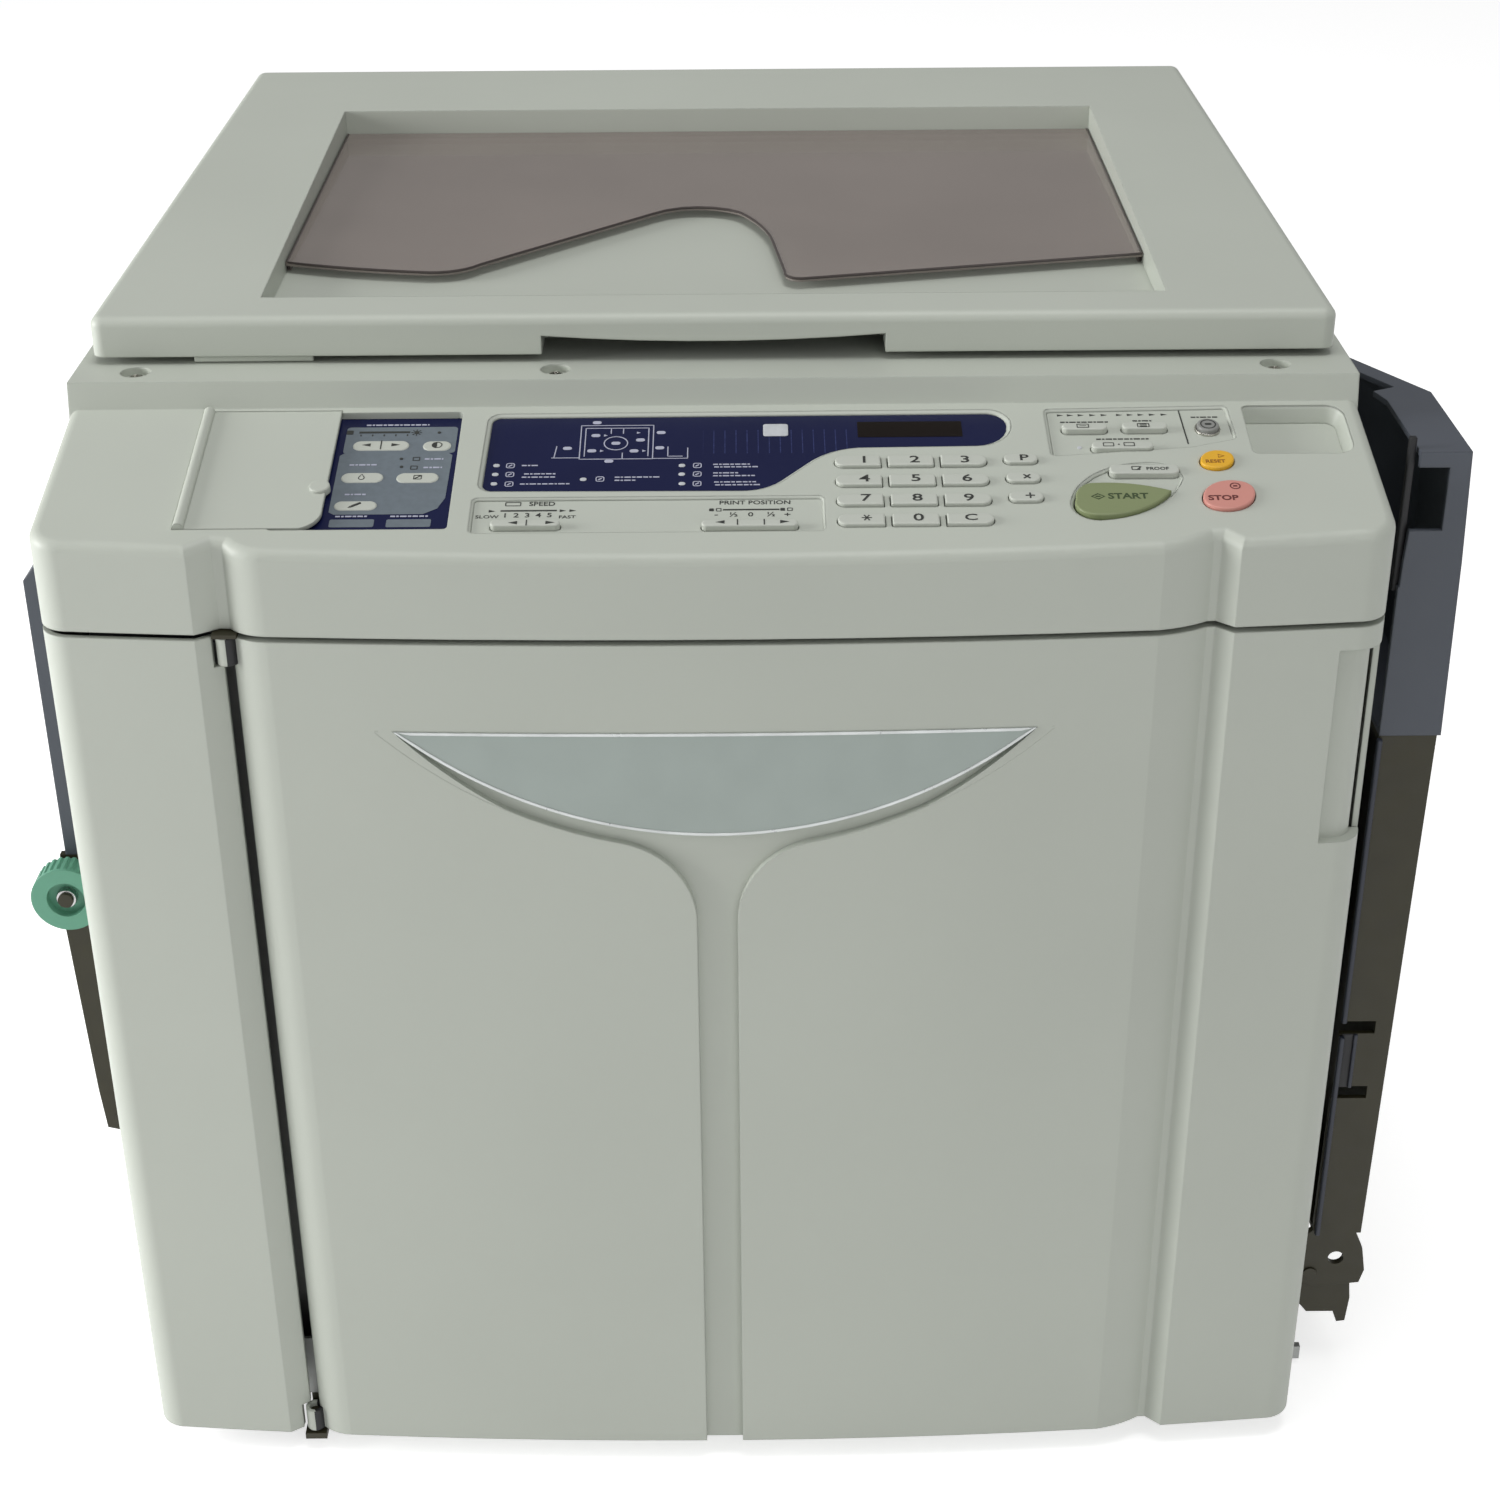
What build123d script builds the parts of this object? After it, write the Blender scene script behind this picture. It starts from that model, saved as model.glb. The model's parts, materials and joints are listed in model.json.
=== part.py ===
from build123d import *
import math
import os

# Digital duplicator: sizes in millimetres.
# While it is drawn, x = 0 is the middle of the body, y = 0 the line of its front
# corners with +Y to the back, and z = 0 the floor. The export moves y to the middle.

# Body
BODY_W = 640.0            # outside of the side covers
CORNER_R = 16.0           # upright corners of the front
BOW = 16.0                # how far the front swells forward at its middle
BACK_Y = 600.0            # outside of the rear cover
SKIN = 3.0                # wall of every plastic cover
SKIRT_Z = 15.0            # lower edge of the covers and the door
SEAM_Z = 507.0            # top of the covers and the door
SEAM_GAP = 3.0            # shadow gap under the upper casing
PART_GAP = 0.6            # between the door's wrap and the right cover
COVER_LAP = 23.0          # height of the side covers' flange inside the upper casing
LAP_T = 3.0
LAP_END = 10.0            # the flange stops this far from plate and back

HALF_W = BODY_W / 2
INNER_X = HALF_W - SKIN
FRONT_Y = -BOW
BOW_R = (HALF_W**2 + BOW**2) / (2 * BOW)
CORNER_Y = BOW_R - math.sqrt(BOW_R**2 - (HALF_W - CORNER_R)**2) - BOW
FRONT_END_Y = CORNER_Y + CORNER_R
CASE_Z0 = SEAM_Z + SEAM_GAP

# Grooves in the front
DOOR_GAP_IN = 89.5        # left side to the middle of the slot beside the door
DOOR_GAP_W = 5.0
GROOVE_D = 8.0
LEFT_SLOPE = 11.0         # width of the fixed panel's slope into the slot
DOOR_SLOPE = 18.0         # width of the door's rounded slope into the slot
RIGHT_GROOVE_IN = 75.0    # right side to the groove's outer edge
RIGHT_GROOVE_W = 36.0
RIGHT_SLOPE_W = 8.0
RIGHT_FLOOR_W = 4.0
DOOR_GAP_X = -HALF_W + DOOR_GAP_IN
RIGHT_GROOVE_X1 = HALF_W - RIGHT_GROOVE_IN
RIGHT_GROOVE_X0 = RIGHT_GROOVE_X1 - RIGHT_GROOVE_W

# Upper casing and control panel
CASE_H = 45.0             # front face of the upper casing
PANEL_RISE = 25.0         # climb of the panel up to the riser
RISER_H = 13.0            # from the panel up to the ledge
RISER_Y = 108.0
RISER_LEAN = 3.0
PANEL_WALL = 5.0
PANEL_EDGE_R = 5.5
POCKET_R = 7.5            # screw pockets in the ledge
POCKET_D = 4.0
POCKET_WALL = 2.5
POCKET_IN = 18.0          # from the riser
POCKET_LEFT_IN = 31.0     # from the left side
POCKET_RIGHT_IN = 39.0    # from the right side
POCKET_MID_X = -79.0
PANEL_Z = CASE_Z0 + CASE_H
RISER_Z = PANEL_Z + PANEL_RISE
LEDGE_Z = RISER_Z + RISER_H
SLOPE = math.atan2(PANEL_RISE, RISER_Y)
SLOPE_DIR = (0, -math.sin(SLOPE), math.cos(SLOPE))
PANEL_PLANE = Plane(origin=(0, 0, PANEL_Z), x_dir=(1, 0, 0), z_dir=SLOPE_DIR)

# Lid
LID_SIDE = 7.0            # lid's front corners inside the body's sides
LID_TAPER = 14.0          # its back corners lie this much further in
LID_SETBACK = 29.0        # from the riser to the lid's front
LID_BACK_GAP = 18.0       # from the lid's back to the back of the body
LID_GAP = 4.0             # under the lid
LID_FRONT_H = 20.0
LID_BACK_H = 41.0
LID_CORNER_R = 6.5
LID_EDGE_R = 5.0
LID_WALL = 3.0
LID_FRONT_W = BODY_W - 2 * LID_SIDE
LID_BACK_W = LID_FRONT_W - 2 * LID_TAPER
LID_FRONT_Y = RISER_Y + LID_SETBACK
LID_BACK_Y = BACK_Y - LID_BACK_GAP
LID_Z = LEDGE_Z + LID_GAP
LID_SLOPE = math.atan2(LID_BACK_H - LID_FRONT_H, LID_BACK_Y - LID_FRONT_Y)
LID_ROOM = 60.0           # taller than the lid, for its cutting solids

# Tray in the lid's top, and the finger grip
RECESS_SIDE = 68.5
RECESS_FRONT = 29.0
RECESS_BACK = 92.0
RECESS_D = 12.0           # depth of the tray at its front
RECESS_D_BACK = 20.0
GRIP_W = 173.0
GRIP_D = 26.0
GRIP_END_H = 9.6
GRIP_MID_H = 6.3
PAD_GAP = 0.3
PAD_EDGE = 3.0            # pad beyond the glass
RECESS_W = LID_BACK_W - 2 * RECESS_SIDE
RECESS_Y0 = LID_FRONT_Y + RECESS_FRONT
RECESS_Y1 = LID_BACK_Y - RECESS_BACK

# Platen glass in the ledge
GLASS_W = 440.0
GLASS_D = 318.0
GLASS_T = 4.0
GLASS_IN = 49.0           # from the lid's front to the glass
GLASS_SEAT = 6.0          # width of the seat under the glass edge
GLASS_FIT = 0.2
FRAME_T = 4.0
GLASS_Y = LID_FRONT_Y + GLASS_IN + GLASS_D / 2

# Smoked sheet in the lid
SHEET_T = 2.0
SHEET_LIFT = 4.0
SHEET_SIDE = 0.4
SHEET_LEG = 8.0
SHEET_LEG_IN = 79.0       # from the tray's front to the left leg
SHEET_LEG_STEP = 4.0      # the right leg stands this much further back

# Lid hinge
HINGE_X = 200.0
HINGE_OUT = 10.0          # pin's line behind the lid
HINGE_RISE = 11.0         # pin's line above the lid's underside
HINGE_R = 9.0
HINGE_PIN_R = 3.0
HINGE_KNUCKLE = 40.0
HINGE_SIDE = 0.4
CHEEK_T = 4.0
PIN_FIT = 0.05
HINGE_Y = LID_BACK_Y + HINGE_OUT
HINGE_Z = LID_Z + HINGE_RISE

# Door
DOOR_PIVOT_R = 3.0
DOOR_KNUCKLE_R = 5.0
DOOR_KNUCKLE_H = 14.0
DOOR_FLANGE_Y = 12.0
PIVOT_CLEAR = 7.0
PIVOT_RISE = 1.0          # pivot's line in front of the slot's floor
PIVOT_END = 3.0           # pin ends short of its knuckle's end
PIVOT_ARM_W = 12.0
PIVOT_ARM_T = 4.0
TOP_ARM_T = 2.0
TOP_ARM_GAP = 0.4
BADGE_W = 307.0
BADGE_TOP = 461.0
BADGE_SAG = 56.0
BADGE_MARGIN = 9.0
BADGE_GAP = 0.2
BADGE_PROUD = 0.3
STEM_W = 20.0
STEM_BLEND = 46.0
STEM_D = 4.0
BACKING = 3.0
GRIP_POCKET_IN = 23.0     # from the right side
GRIP_POCKET_Z0 = 390.0
GRIP_POCKET_Z1 = 495.0
GRIP_POCKET_D = 5.0

# Base and inner plates
BASE_Z = 20.0
BASE_H = 40.0
SHEET_STEEL = 2.0
BASE_FRONT_Y = 20.0
FOOT_R = 18.0
FOOT_IN = 58.0            # from the body's side to a foot
FOOT_CHAMFER = 2.0
FOOT_FRONT_Y = 70.0
FOOT_BACK_GAP = 55.0      # from a back foot to the back
STAND_HOLE_R = 2.6
STAND_SPACING_X = 400.0
STAND_SPACING_Y = 360.0
LUG_OUT = 17.0
LUG_T = 4.0
LUG_Z0 = 4.0
LUG_Z1 = 13.0
LUG_TOP = 34.0
FRONT_PLATE_Y = 40.0
REAR_PLATE_Y = 420.0
PLATE_IN = 20.0
PLATE_X = HALF_W - PLATE_IN
PLATE_TOP = SEAM_Z - SHEET_STEEL
FOOT_X = HALF_W - FOOT_IN
FOOT_BACK_Y = BACK_Y - FOOT_BACK_GAP

# Print drum and rollers
DRUM_X = 20.0
DRUM_Z = 310.0
DRUM_R = 90.0
DRUM_WALL = 2.5
DRUM_END_GAP = 22.0       # from each plate to the drum
DRUM_SHAFT_R = 8.0
DRUM_OPENING_R = 106.0
DRUM_BAR_W = 44.0
DRUM_BAR_BELOW = 30.0
DRUM_BAR_ABOVE = 5.0
DRUM_FLANGE = 6.0
DRUM_GEAR_R = 62.0
DRUM_GEAR_T = 8.0
PRESS_R = 24.0
PRESS_GAP = 0.4
PRESS_SHAFT_R = 5.0
ROLL_IN = 115.0           # from the left side
ROLL_Z = 440.0
ROLL_R = 42.0
ROLL_SHAFT_R = 6.0
RUN_FIT = 0.05
ROLLER_END = 8.0
SHAFT_OUT = 2.0           # shafts stand this far out of the plates
DRUM_Y0 = FRONT_PLATE_Y + DRUM_END_GAP
DRUM_Y1 = REAR_PLATE_Y - DRUM_END_GAP
ROLL_X = -HALF_W + ROLL_IN
PRESS_Z = DRUM_Z - DRUM_R - PRESS_GAP - PRESS_R

# Windows in the rear plate, for cables
CABLE_W = 120.0
CABLE_H = 90.0
CABLE_LOW_X = -160.0
CABLE_LOW_Z = 200.0
CABLE_HIGH_X = 200.0
CABLE_HIGH_Z = 400.0

# Scanner
RAIL_R = 4.0
RAIL_DROP = 8.0           # rail below the carriage's bar
CARRIAGE_W = 50.0
CARRIAGE_IN = 105.0       # parked this far from the left side
CARRIAGE_H = 19.0
CARRIAGE_GAP = 2.0        # under the glass frame
CARRIAGE_END = 8.0        # bar ends inside the glass
CARRIAGE_BUSH = 30.0
CARRIAGE_SLIT = 20.0
CARRIAGE_SLIT_D = 5.0
BUSH_DROP = 10.0
CARRIAGE_X = -HALF_W + CARRIAGE_IN
CARRIAGE_Z1 = LEDGE_Z - GLASS_T - FRAME_T - CARRIAGE_GAP
CARRIAGE_Z0 = CARRIAGE_Z1 - CARRIAGE_H
RAIL_Z = CARRIAGE_Z0 - RAIL_DROP

# Motor and power unit
MOTOR_IN = 160.0          # from the right side
MOTOR_Z = 200.0
MOTOR_R = 42.0
MOTOR_L = 95.0
MOTOR_FLANGE = 4.0
MOTOR_FLANGE_T = 5.0
POWER_W = 146.0
POWER_IN = 24.0           # from the right side
POWER_Y0 = 430.0
POWER_Z1 = 120.0
POWER_BACK_GAP = 8.0
INLET_IN = 94.0           # from the right side
INLET_Z = 84.0
INLET_W = 48.0
INLET_H = 30.0
INLET_OUT = 3.0
SOCKET_W = 25.0
SOCKET_H = 17.0
SOCKET_D = 14.0
INLET_GAP = 0.5
MOTOR_X = HALF_W - MOTOR_IN
POWER_X1 = HALF_W - POWER_IN
POWER_X0 = POWER_X1 - POWER_W
INLET_X = HALF_W - INLET_IN

# Vents in the rear cover
VENT_X = -200.0
VENT_Z = 120.0
VENT_STEP_X = 90.0
VENT_STEP_Z = 12.0
VENT_W = 70.0
VENT_H = 5.0
VENT_ROWS = 10

# Paper path
PAPER_Y0 = 96.0
PAPER_Y1 = 444.0
FEED_MOUTH_Z0 = 196.0
FEED_MOUTH_Z1 = 300.0
EXIT_MOUTH_Z0 = 170.0
EXIT_MOUTH_Z1 = 280.0

# Feed tray, folded up; widths are measured out from the body's side
TRAY_SIDE = 36.0          # tray beyond the paper's path
ARM_T = 4.0
BRACKET_T = 4.0
ARM_GAP = 0.3
TRAY_PIN_R = 4.0
FEED_PIVOT_OUT = 12.0
FEED_PIVOT_Z = 184.0
FEED_IN = 6.0
FEED_OUT = 21.0
FEED_BULGE = 50.0
FEED_ARM_L = 169.0        # pivot to the plate's lower edge
FEED_PLATE_L = 162.0
FEED_SKIRT = 22.0         # carrier sheet starts this far above the pivot
DIAL_OUT = 19.0
DIAL_DROP = 17.0          # dial's middle below the plate's lower edge
DIAL_R = 18.0
DIAL_FRONT = 18.0         # dial's face in front of the tray
DIAL_T = 14.0
DIAL_NOTCHES = 30
DIAL_NOTCH_R = 1.1
DIAL_NOTCH_OUT = 0.3
DIAL_RIM = 2.0            # notches start behind the rim
DIAL_DISH_R = 9.9
DIAL_DISH_D = 5.0
DIAL_SHAFT_R = 4.0
TRAY_Y0 = PAPER_Y0 - TRAY_SIDE
TRAY_Y1 = PAPER_Y1 + TRAY_SIDE
FEED_PIVOT_X = -HALF_W - FEED_PIVOT_OUT
FEED_IN_X = -HALF_W - FEED_IN
FEED_OUT_X = -HALF_W - FEED_OUT
FEED_BULGE_X = -HALF_W - FEED_BULGE
FEED_Z0 = FEED_PIVOT_Z + FEED_ARM_L
FEED_Z1 = FEED_Z0 + FEED_PLATE_L
DIAL_X = -HALF_W - DIAL_OUT
DIAL_Z = FEED_Z0 - DIAL_DROP
DIAL_Y0 = TRAY_Y0 - DIAL_FRONT

# Receiving tray, folded up
EXIT_PIVOT_OUT = 17.0
EXIT_PIVOT_Z = 68.0
EXIT_IN = 6.0
EXIT_OUT = 49.5
EXIT_ARM_L = 29.0         # pivot to the plate's lower edge
EXIT_PLATE_L = 320.0
EXIT_WALL = 3.0
HOOD_H = 154.0
HOOD_LOW_H = 83.0         # the part that runs the tray's whole depth
SLOT_W = 20.0
SLOT_H = 8.0
SLOT_LOW = 98.0           # slots above the plate's lower edge
SLOT_HIGH = 141.0
EXIT_PIVOT_X = HALF_W + EXIT_PIVOT_OUT
EXIT_IN_X = HALF_W + EXIT_IN
EXIT_OUT_X = HALF_W + EXIT_OUT
EXIT_PLATE_Z0 = EXIT_PIVOT_Z + EXIT_ARM_L
EXIT_SPLIT_Z = EXIT_PLATE_Z0 + EXIT_PLATE_L
EXIT_TOP_Z = EXIT_SPLIT_Z + HOOD_H

# Fixed ears of the trays
EAR_OUT = 10.0            # ear beyond its pin
EAR_BELOW = 18.0
EAR_ABOVE = 22.0
# hook of the receiving tray's ears, as offsets (x, z) from its pin
HOOK = ((-3, -18), (-3, -25.6), (2, -32), (17.5, -32), (20.4, -39.7), (25.2, -39), (26.4, -22), (25, -10), (10, 5))

# Keys: x and s are measured on the sloping panel, s from its front line.
# They spread with the panel, from the one that they were measured on.
LAYOUT_W = 640.0
LAYOUT_D = 108.0
KEY_UP = 1.8
KEY_DOWN = 5.5
KEY_GAP = 0.5
KEY_EDGE = 0.8
WELL_UNDER = 3.0          # key wells are cut this far below the panel's wall
NUM_X = (69.5, 95.0, 120.5)
NUM_S = (59.4, 43.4, 27.4, 11.4)
NUM_W = 22.0
NUM_H = 8.2
NUM_CORNER_R = 1.0
SIDE_KEY_X = 148.0
SIDE_KEY_S = (60.5, 44.8, 29.0)
SIDE_KEY_W = 16.3
SIDE_KEY_H = 7.2
START_X = 193.6
START_S = 27.0
PROOF_W = 33.4
PROOF_H = 7.5
PROOF_R = 3.2
STOP_W = 27.2
STOP_H = 22.0
STOP_TILT = 35.0
RESET_W = 17.3
RESET_H = 14.6
RESET_TILT = 30.0
IMAGE_KEY_H = 5.8
LINE_KEY_W = 22.2
PHOTO_KEY_W = 22.2
DUO_KEY_W = 30.0
INTERVAL_R = 5.4
SUB_KEY_H = 8.2
SUB_KEY_UP = 0.6          # above the sunk key plate
SCAN_KEY_W = 27.6
AUTO_KEY_W = 13.9
SUB_KEY_W = 20.4
PENCIL_KEY_H = 7.5
ROCKER_H = 5.0
SPEED_KEY_W = 32.7
POSITION_KEY_W = 45.1
PILL_FLAT = 0.1           # straight stretch left at a pill's round end

# Keys in the sunk plate beside the flap
SUB_KEYS = ("scan_level_key", "auto_level_key", "ink_save_key", "double_feed_key", "pencil_key")

# Windows, flap and hollows of the panel
WINDOW_T = 1.8
WINDOW_SINK = 1.5         # display window below the panel
PLATE_SINK = 3.6          # key plate below the panel
WINDOW_FIT = 0.1
DISH_D = 9.0
DISH_R = 9.0
DISH_LEFT_R = 3.5
SHALLOW = 1.4
FLAP_T = 2.0
FLAP_X0 = -252.0
FLAP_X1 = -184.0
FLAP_S0 = 9.6
FLAP_S1 = 108.0
FLAP_GAP = 0.4
FLAP_UNDER = 0.2
FLAP_BARREL_R = 2.6
FLAP_BARREL_UP = 0.6      # barrel's line above the panel
FLAP_TAB_S = 42.3
FLAP_TAB_R = 5.0
FLAP_TAB_IN = 3.2         # tab's middle from the flap's edge
FLAP_TAB_UP = 1.5

Y_SHIFT = -(FRONT_Y + BACK_Y + INLET_OUT) / 2

parts = {}


def front_y(x):
    """Outer front surface of the bowed front at x."""
    return BOW_R - math.sqrt(BOW_R**2 - x * x) - BOW


def bow(x0, x1):
    """A stretch of the bowed front line."""
    mid = (x0 + x1) / 2
    return ThreePointArc((x0, front_y(x0)), (mid, front_y(mid)), (x1, front_y(x1)))


def groove_floor(x):
    return front_y(x) + GROOVE_D


def body_plan():
    """Outline of the body from above, with the grooves in its front."""
    cx = HALF_W - CORNER_R
    cy = CORNER_Y
    d = CORNER_R * math.sin(math.radians(45))
    gap0 = DOOR_GAP_X - DOOR_GAP_W / 2
    gap1 = DOOR_GAP_X + DOOR_GAP_W / 2
    left = gap0 - LEFT_SLOPE
    right = gap1 + DOOR_SLOPE
    floor0 = RIGHT_GROOVE_X1 - RIGHT_SLOPE_W - RIGHT_FLOOR_W
    floor1 = RIGHT_GROOVE_X1 - RIGHT_SLOPE_W
    soft0 = (gap1 + right) / 2 - DOOR_SLOPE / 8
    soft1 = (RIGHT_GROOVE_X0 + floor0) / 2
    lines = [
        Line((-HALF_W, BACK_Y), (-HALF_W, cy + CORNER_R)),
        ThreePointArc((-HALF_W, cy + CORNER_R), (-cx - d, cy + CORNER_R - d), (-cx, cy)),
        bow(-cx, left),
        Line((left, front_y(left)), (gap0, groove_floor(gap0))),
        Line((gap0, groove_floor(gap0)), (gap1, groove_floor(gap1))),
        ThreePointArc(
            (gap1, groove_floor(gap1)),
            (soft0, front_y(soft0) + GROOVE_D / 3),
            (right, front_y(right)),
        ),
        bow(right, RIGHT_GROOVE_X0),
        ThreePointArc(
            (RIGHT_GROOVE_X0, front_y(RIGHT_GROOVE_X0)),
            (soft1, front_y(soft1) + GROOVE_D / 3),
            (floor0, groove_floor(floor0)),
        ),
        Line((floor0, groove_floor(floor0)), (floor1, groove_floor(floor1))),
        Line((floor1, groove_floor(floor1)), (RIGHT_GROOVE_X1, front_y(RIGHT_GROOVE_X1))),
        bow(RIGHT_GROOVE_X1, cx),
        ThreePointArc((cx, cy), (cx + d, cy + CORNER_R - d), (HALF_W, cy + CORNER_R)),
        Line((HALF_W, cy + CORNER_R), (HALF_W, BACK_Y)),
        Line((HALF_W, BACK_Y), (-HALF_W, BACK_Y)),
    ]
    return make_face(lines)


PLAN = body_plan()


def inset(distance):
    return PLAN if distance == 0 else offset(PLAN, -distance)


def prism(face, z0, z1):
    return Pos(0, 0, z0) * extrude(face, z1 - z0)


def block(x0, x1, y0, y1, z0, z1):
    """A box between two corners."""
    return Pos((x0 + x1) / 2, (y0 + y1) / 2, (z0 + z1) / 2) * Box(x1 - x0, y1 - y0, z1 - z0)


def rod_y(x, z, r, y0, y1):
    return Pos(x, (y0 + y1) / 2, z) * Rot(90, 0, 0) * Cylinder(r, y1 - y0)


def rod_x(y, z, r, x0, x1):
    return Pos((x0 + x1) / 2, y, z) * Rot(0, 90, 0) * Cylinder(r, x1 - x0)


def rod_z(x, y, r, z0, z1):
    return Pos(x, y, (z0 + z1) / 2) * Cylinder(r, z1 - z0)


def side_prism(points, x0, x1):
    """Polygon in (y, z), extruded along x."""
    face = Plane.YZ * make_face(Polyline(*points, close=True))
    return Pos(x0, 0, 0) * extrude(face, x1 - x0, dir=(1, 0, 0))


def front_prism(points, y0, y1):
    """Polygon in (x, z), extruded along y."""
    face = Plane.XZ * make_face(Polyline(*points, close=True))
    return Pos(0, y0, 0) * extrude(face, y1 - y0, dir=(0, 1, 0))


def front_face_prism(face, y0, y1):
    """Face drawn in (x, z), extruded along y."""
    return Pos(0, y0, 0) * extrude(Plane.XZ * face, y1 - y0, dir=(0, 1, 0))


def put(node, shape):
    parts[node] = Pos(0, Y_SHIFT, 0) * shape


def at_x(x):
    return x * BODY_W / LAYOUT_W


def at_s(s):
    return s * RISER_Y / LAYOUT_D


def spread(outline, x=0.0, s=0.0):
    """Points of an outline about its own middle, moved to a place on the panel."""
    return [tuple((at_x(x) + px, at_s(s) + ps) for px, ps in line) for line in outline]


def stretched(outline):
    """Points of a wide outline, each moved with the panel's size."""
    return [tuple((at_x(px), at_s(ps)) for px, ps in line) for line in outline]


def outline_face(lines):
    """Face from lines of two points and arcs of three."""
    return make_face([Line(*line) if len(line) == 2 else ThreePointArc(*line) for line in lines])


def pad_face(x0, x1, s0, s1, r):
    """Rounded rectangle on the panel."""
    width = at_x(x1) - at_x(x0)
    depth = at_s(s1) - at_s(s0)
    return Pos(at_x((x0 + x1) / 2), at_s((s0 + s1) / 2)) * RectangleRounded(width, depth, r)


def key_place(x, s):
    return Pos(at_x(x), at_s(s))


def pill(x, s, w, h):
    return key_place(x, s) * RectangleRounded(w, h, (min(w, h) - PILL_FLAT) / 2)


def on_panel(face, h0, h1):
    """Extrude a panel face between two heights above the panel."""
    return PANEL_PLANE * Pos(0, 0, h0) * extrude(face, h1 - h0)


def oval(w, h):
    """Oval of four tangent arcs."""
    a = w / 2
    b = h / 2
    small = b * 0.72
    large = ((a - small)**2 + b * b - small * small) / (2 * (b - small))
    jx = a - small + small * (a - small) / (large - small)
    jy = small * (large - b) / (large - small)
    return make_face([
        ThreePointArc((-jx, jy), (0, b), (jx, jy)),
        ThreePointArc((jx, jy), (a, 0), (jx, -jy)),
        ThreePointArc((jx, -jy), (0, -b), (-jx, -jy)),
        ThreePointArc((-jx, -jy), (-a, 0), (-jx, jy)),
    ])


def start_face():
    """Teardrop with a nearly straight top edge and its tip at the right."""
    tip = (23.4, 5.6)
    low = (-12.6, -13.7)
    left = (-22.3, 0)
    top = (-15.2, 12.2)
    outline = (
        (tip, (5.4, -10.5), low),
        (low, (-21, -10), left),
        (left, (-20.3, 7.8), top),
        (top, (5.4, 11.4), tip),
    )
    return outline_face(spread(outline, START_X, START_S))


def almond_face():
    """Shallow hollow that the start and proof keys share."""
    left = (-25, -1)
    top = (12.4, 31)
    right = (30.9, 18)
    low = (-11.6, -16)
    outline = (
        (left, (-12.6, 21), top),
        (top, (25.4, 28), right),
        (right, (12.4, -7.5), low),
        (low, (-22.1, -11.5), left),
    )
    return outline_face(spread(outline, START_X, START_S))


def image_pad_face():
    """Hollow round the image keys; its lower edge climbs to the right."""
    corners = [(at_x(x), at_s(s)) for x, s in ((163, 64), (163, 105), (254, 107), (255, 78), (232, 71))]
    return fillet(make_face(Polyline(*corners, close=True)).vertices(), SKIN)


def number_face(column):
    """Number key; the outer ones are round at their outer end."""
    middle = at_x(NUM_X[column])
    if column == 1:
        return Pos(middle, 0) * RectangleRounded(NUM_W, NUM_H, NUM_CORNER_R)
    side = column - 1
    h = NUM_H / 2
    inner = middle - side * NUM_W / 2
    outer = middle + side * NUM_W / 2
    bend = outer - side * h
    return make_face([
        Line((inner, -h), (bend, -h)),
        ThreePointArc((bend, -h), (outer, 0), (bend, h)),
        Line((bend, h), (inner, h)),
        Line((inner, h), (inner, -h)),
    ])


def key_faces():
    """Every key's outline on the panel, by node name."""
    names = ("1", "2", "3", "4", "5", "6", "7", "8", "9", "star", "0", "clear")
    faces = {}
    for index, name in enumerate(names):
        row, column = divmod(index, 3)
        faces["key_" + name] = Pos(0, at_s(NUM_S[row])) * number_face(column)
    for name, s in zip(("program", "times", "plus"), SIDE_KEY_S):
        faces["key_" + name] = pill(SIDE_KEY_X, s, SIDE_KEY_W, SIDE_KEY_H)
    faces["start_key"] = start_face()
    faces["proof_key"] = key_place(206.3, 50.5) * RectangleRounded(PROOF_W, PROOF_H, PROOF_R)
    faces["stop_key"] = key_place(243.8, 29.1) * Rot(0, 0, STOP_TILT) * oval(STOP_W, STOP_H)
    faces["reset_key"] = key_place(242.3, 58.4) * Rot(0, 0, RESET_TILT) * oval(RESET_W, RESET_H)
    faces["image_key_line"] = pill(181.6, 87.5, LINE_KEY_W, IMAGE_KEY_H)
    faces["image_key_photo"] = pill(211, 87.8, PHOTO_KEY_W, IMAGE_KEY_H)
    faces["image_key_duo"] = pill(198.3, 71.1, DUO_KEY_W, IMAGE_KEY_H)
    faces["interval_key"] = key_place(242, 88) * Circle(INTERVAL_R)
    faces["scan_level_key"] = pill(-162.4, 82.2, SCAN_KEY_W, SUB_KEY_H)
    faces["auto_level_key"] = pill(-135, 81.7, AUTO_KEY_W, SUB_KEY_H)
    faces["ink_save_key"] = pill(-168.7, 55, SUB_KEY_W, SUB_KEY_H)
    faces["double_feed_key"] = pill(-142.1, 54.6, SUB_KEY_W, SUB_KEY_H)
    faces["pencil_key"] = pill(-169.4, 31.9, SUB_KEY_W, PENCIL_KEY_H)
    faces["speed_key"] = pill(-87.5, 10.6, SPEED_KEY_W, ROCKER_H)
    faces["position_key"] = pill(17.4, 9.3, POSITION_KEY_W, ROCKER_H)
    return faces


def window_face():
    """Navy display window with its S-shaped lower right edge."""
    lines = (
        ((-112, 44), (-111, 97)),
        ((-111, 97), (-109, 102.2), (-103, 104.3)),
        ((-103, 104.3), (135, 105.2)),
        ((135, 105.2), (142.8, 101.3), (146, 92)),
        ((146, 92), (141, 79), (128, 73.3)),
        ((128, 73.3), (71, 72.6)),
        ((71, 72.6), (57.5, 68.6), (47, 60)),
        ((47, 60), (34, 45.5)),
        ((34, 45.5), (25, 39.2), (14, 37)),
        ((14, 37), (-106, 38)),
        ((-106, 38), (-110, 40), (-112, 44)),
    )
    return outline_face(stretched(lines))


def sub_plate_face():
    return pad_face(-208, -124, 8.2, 106.2, 2)


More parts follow.
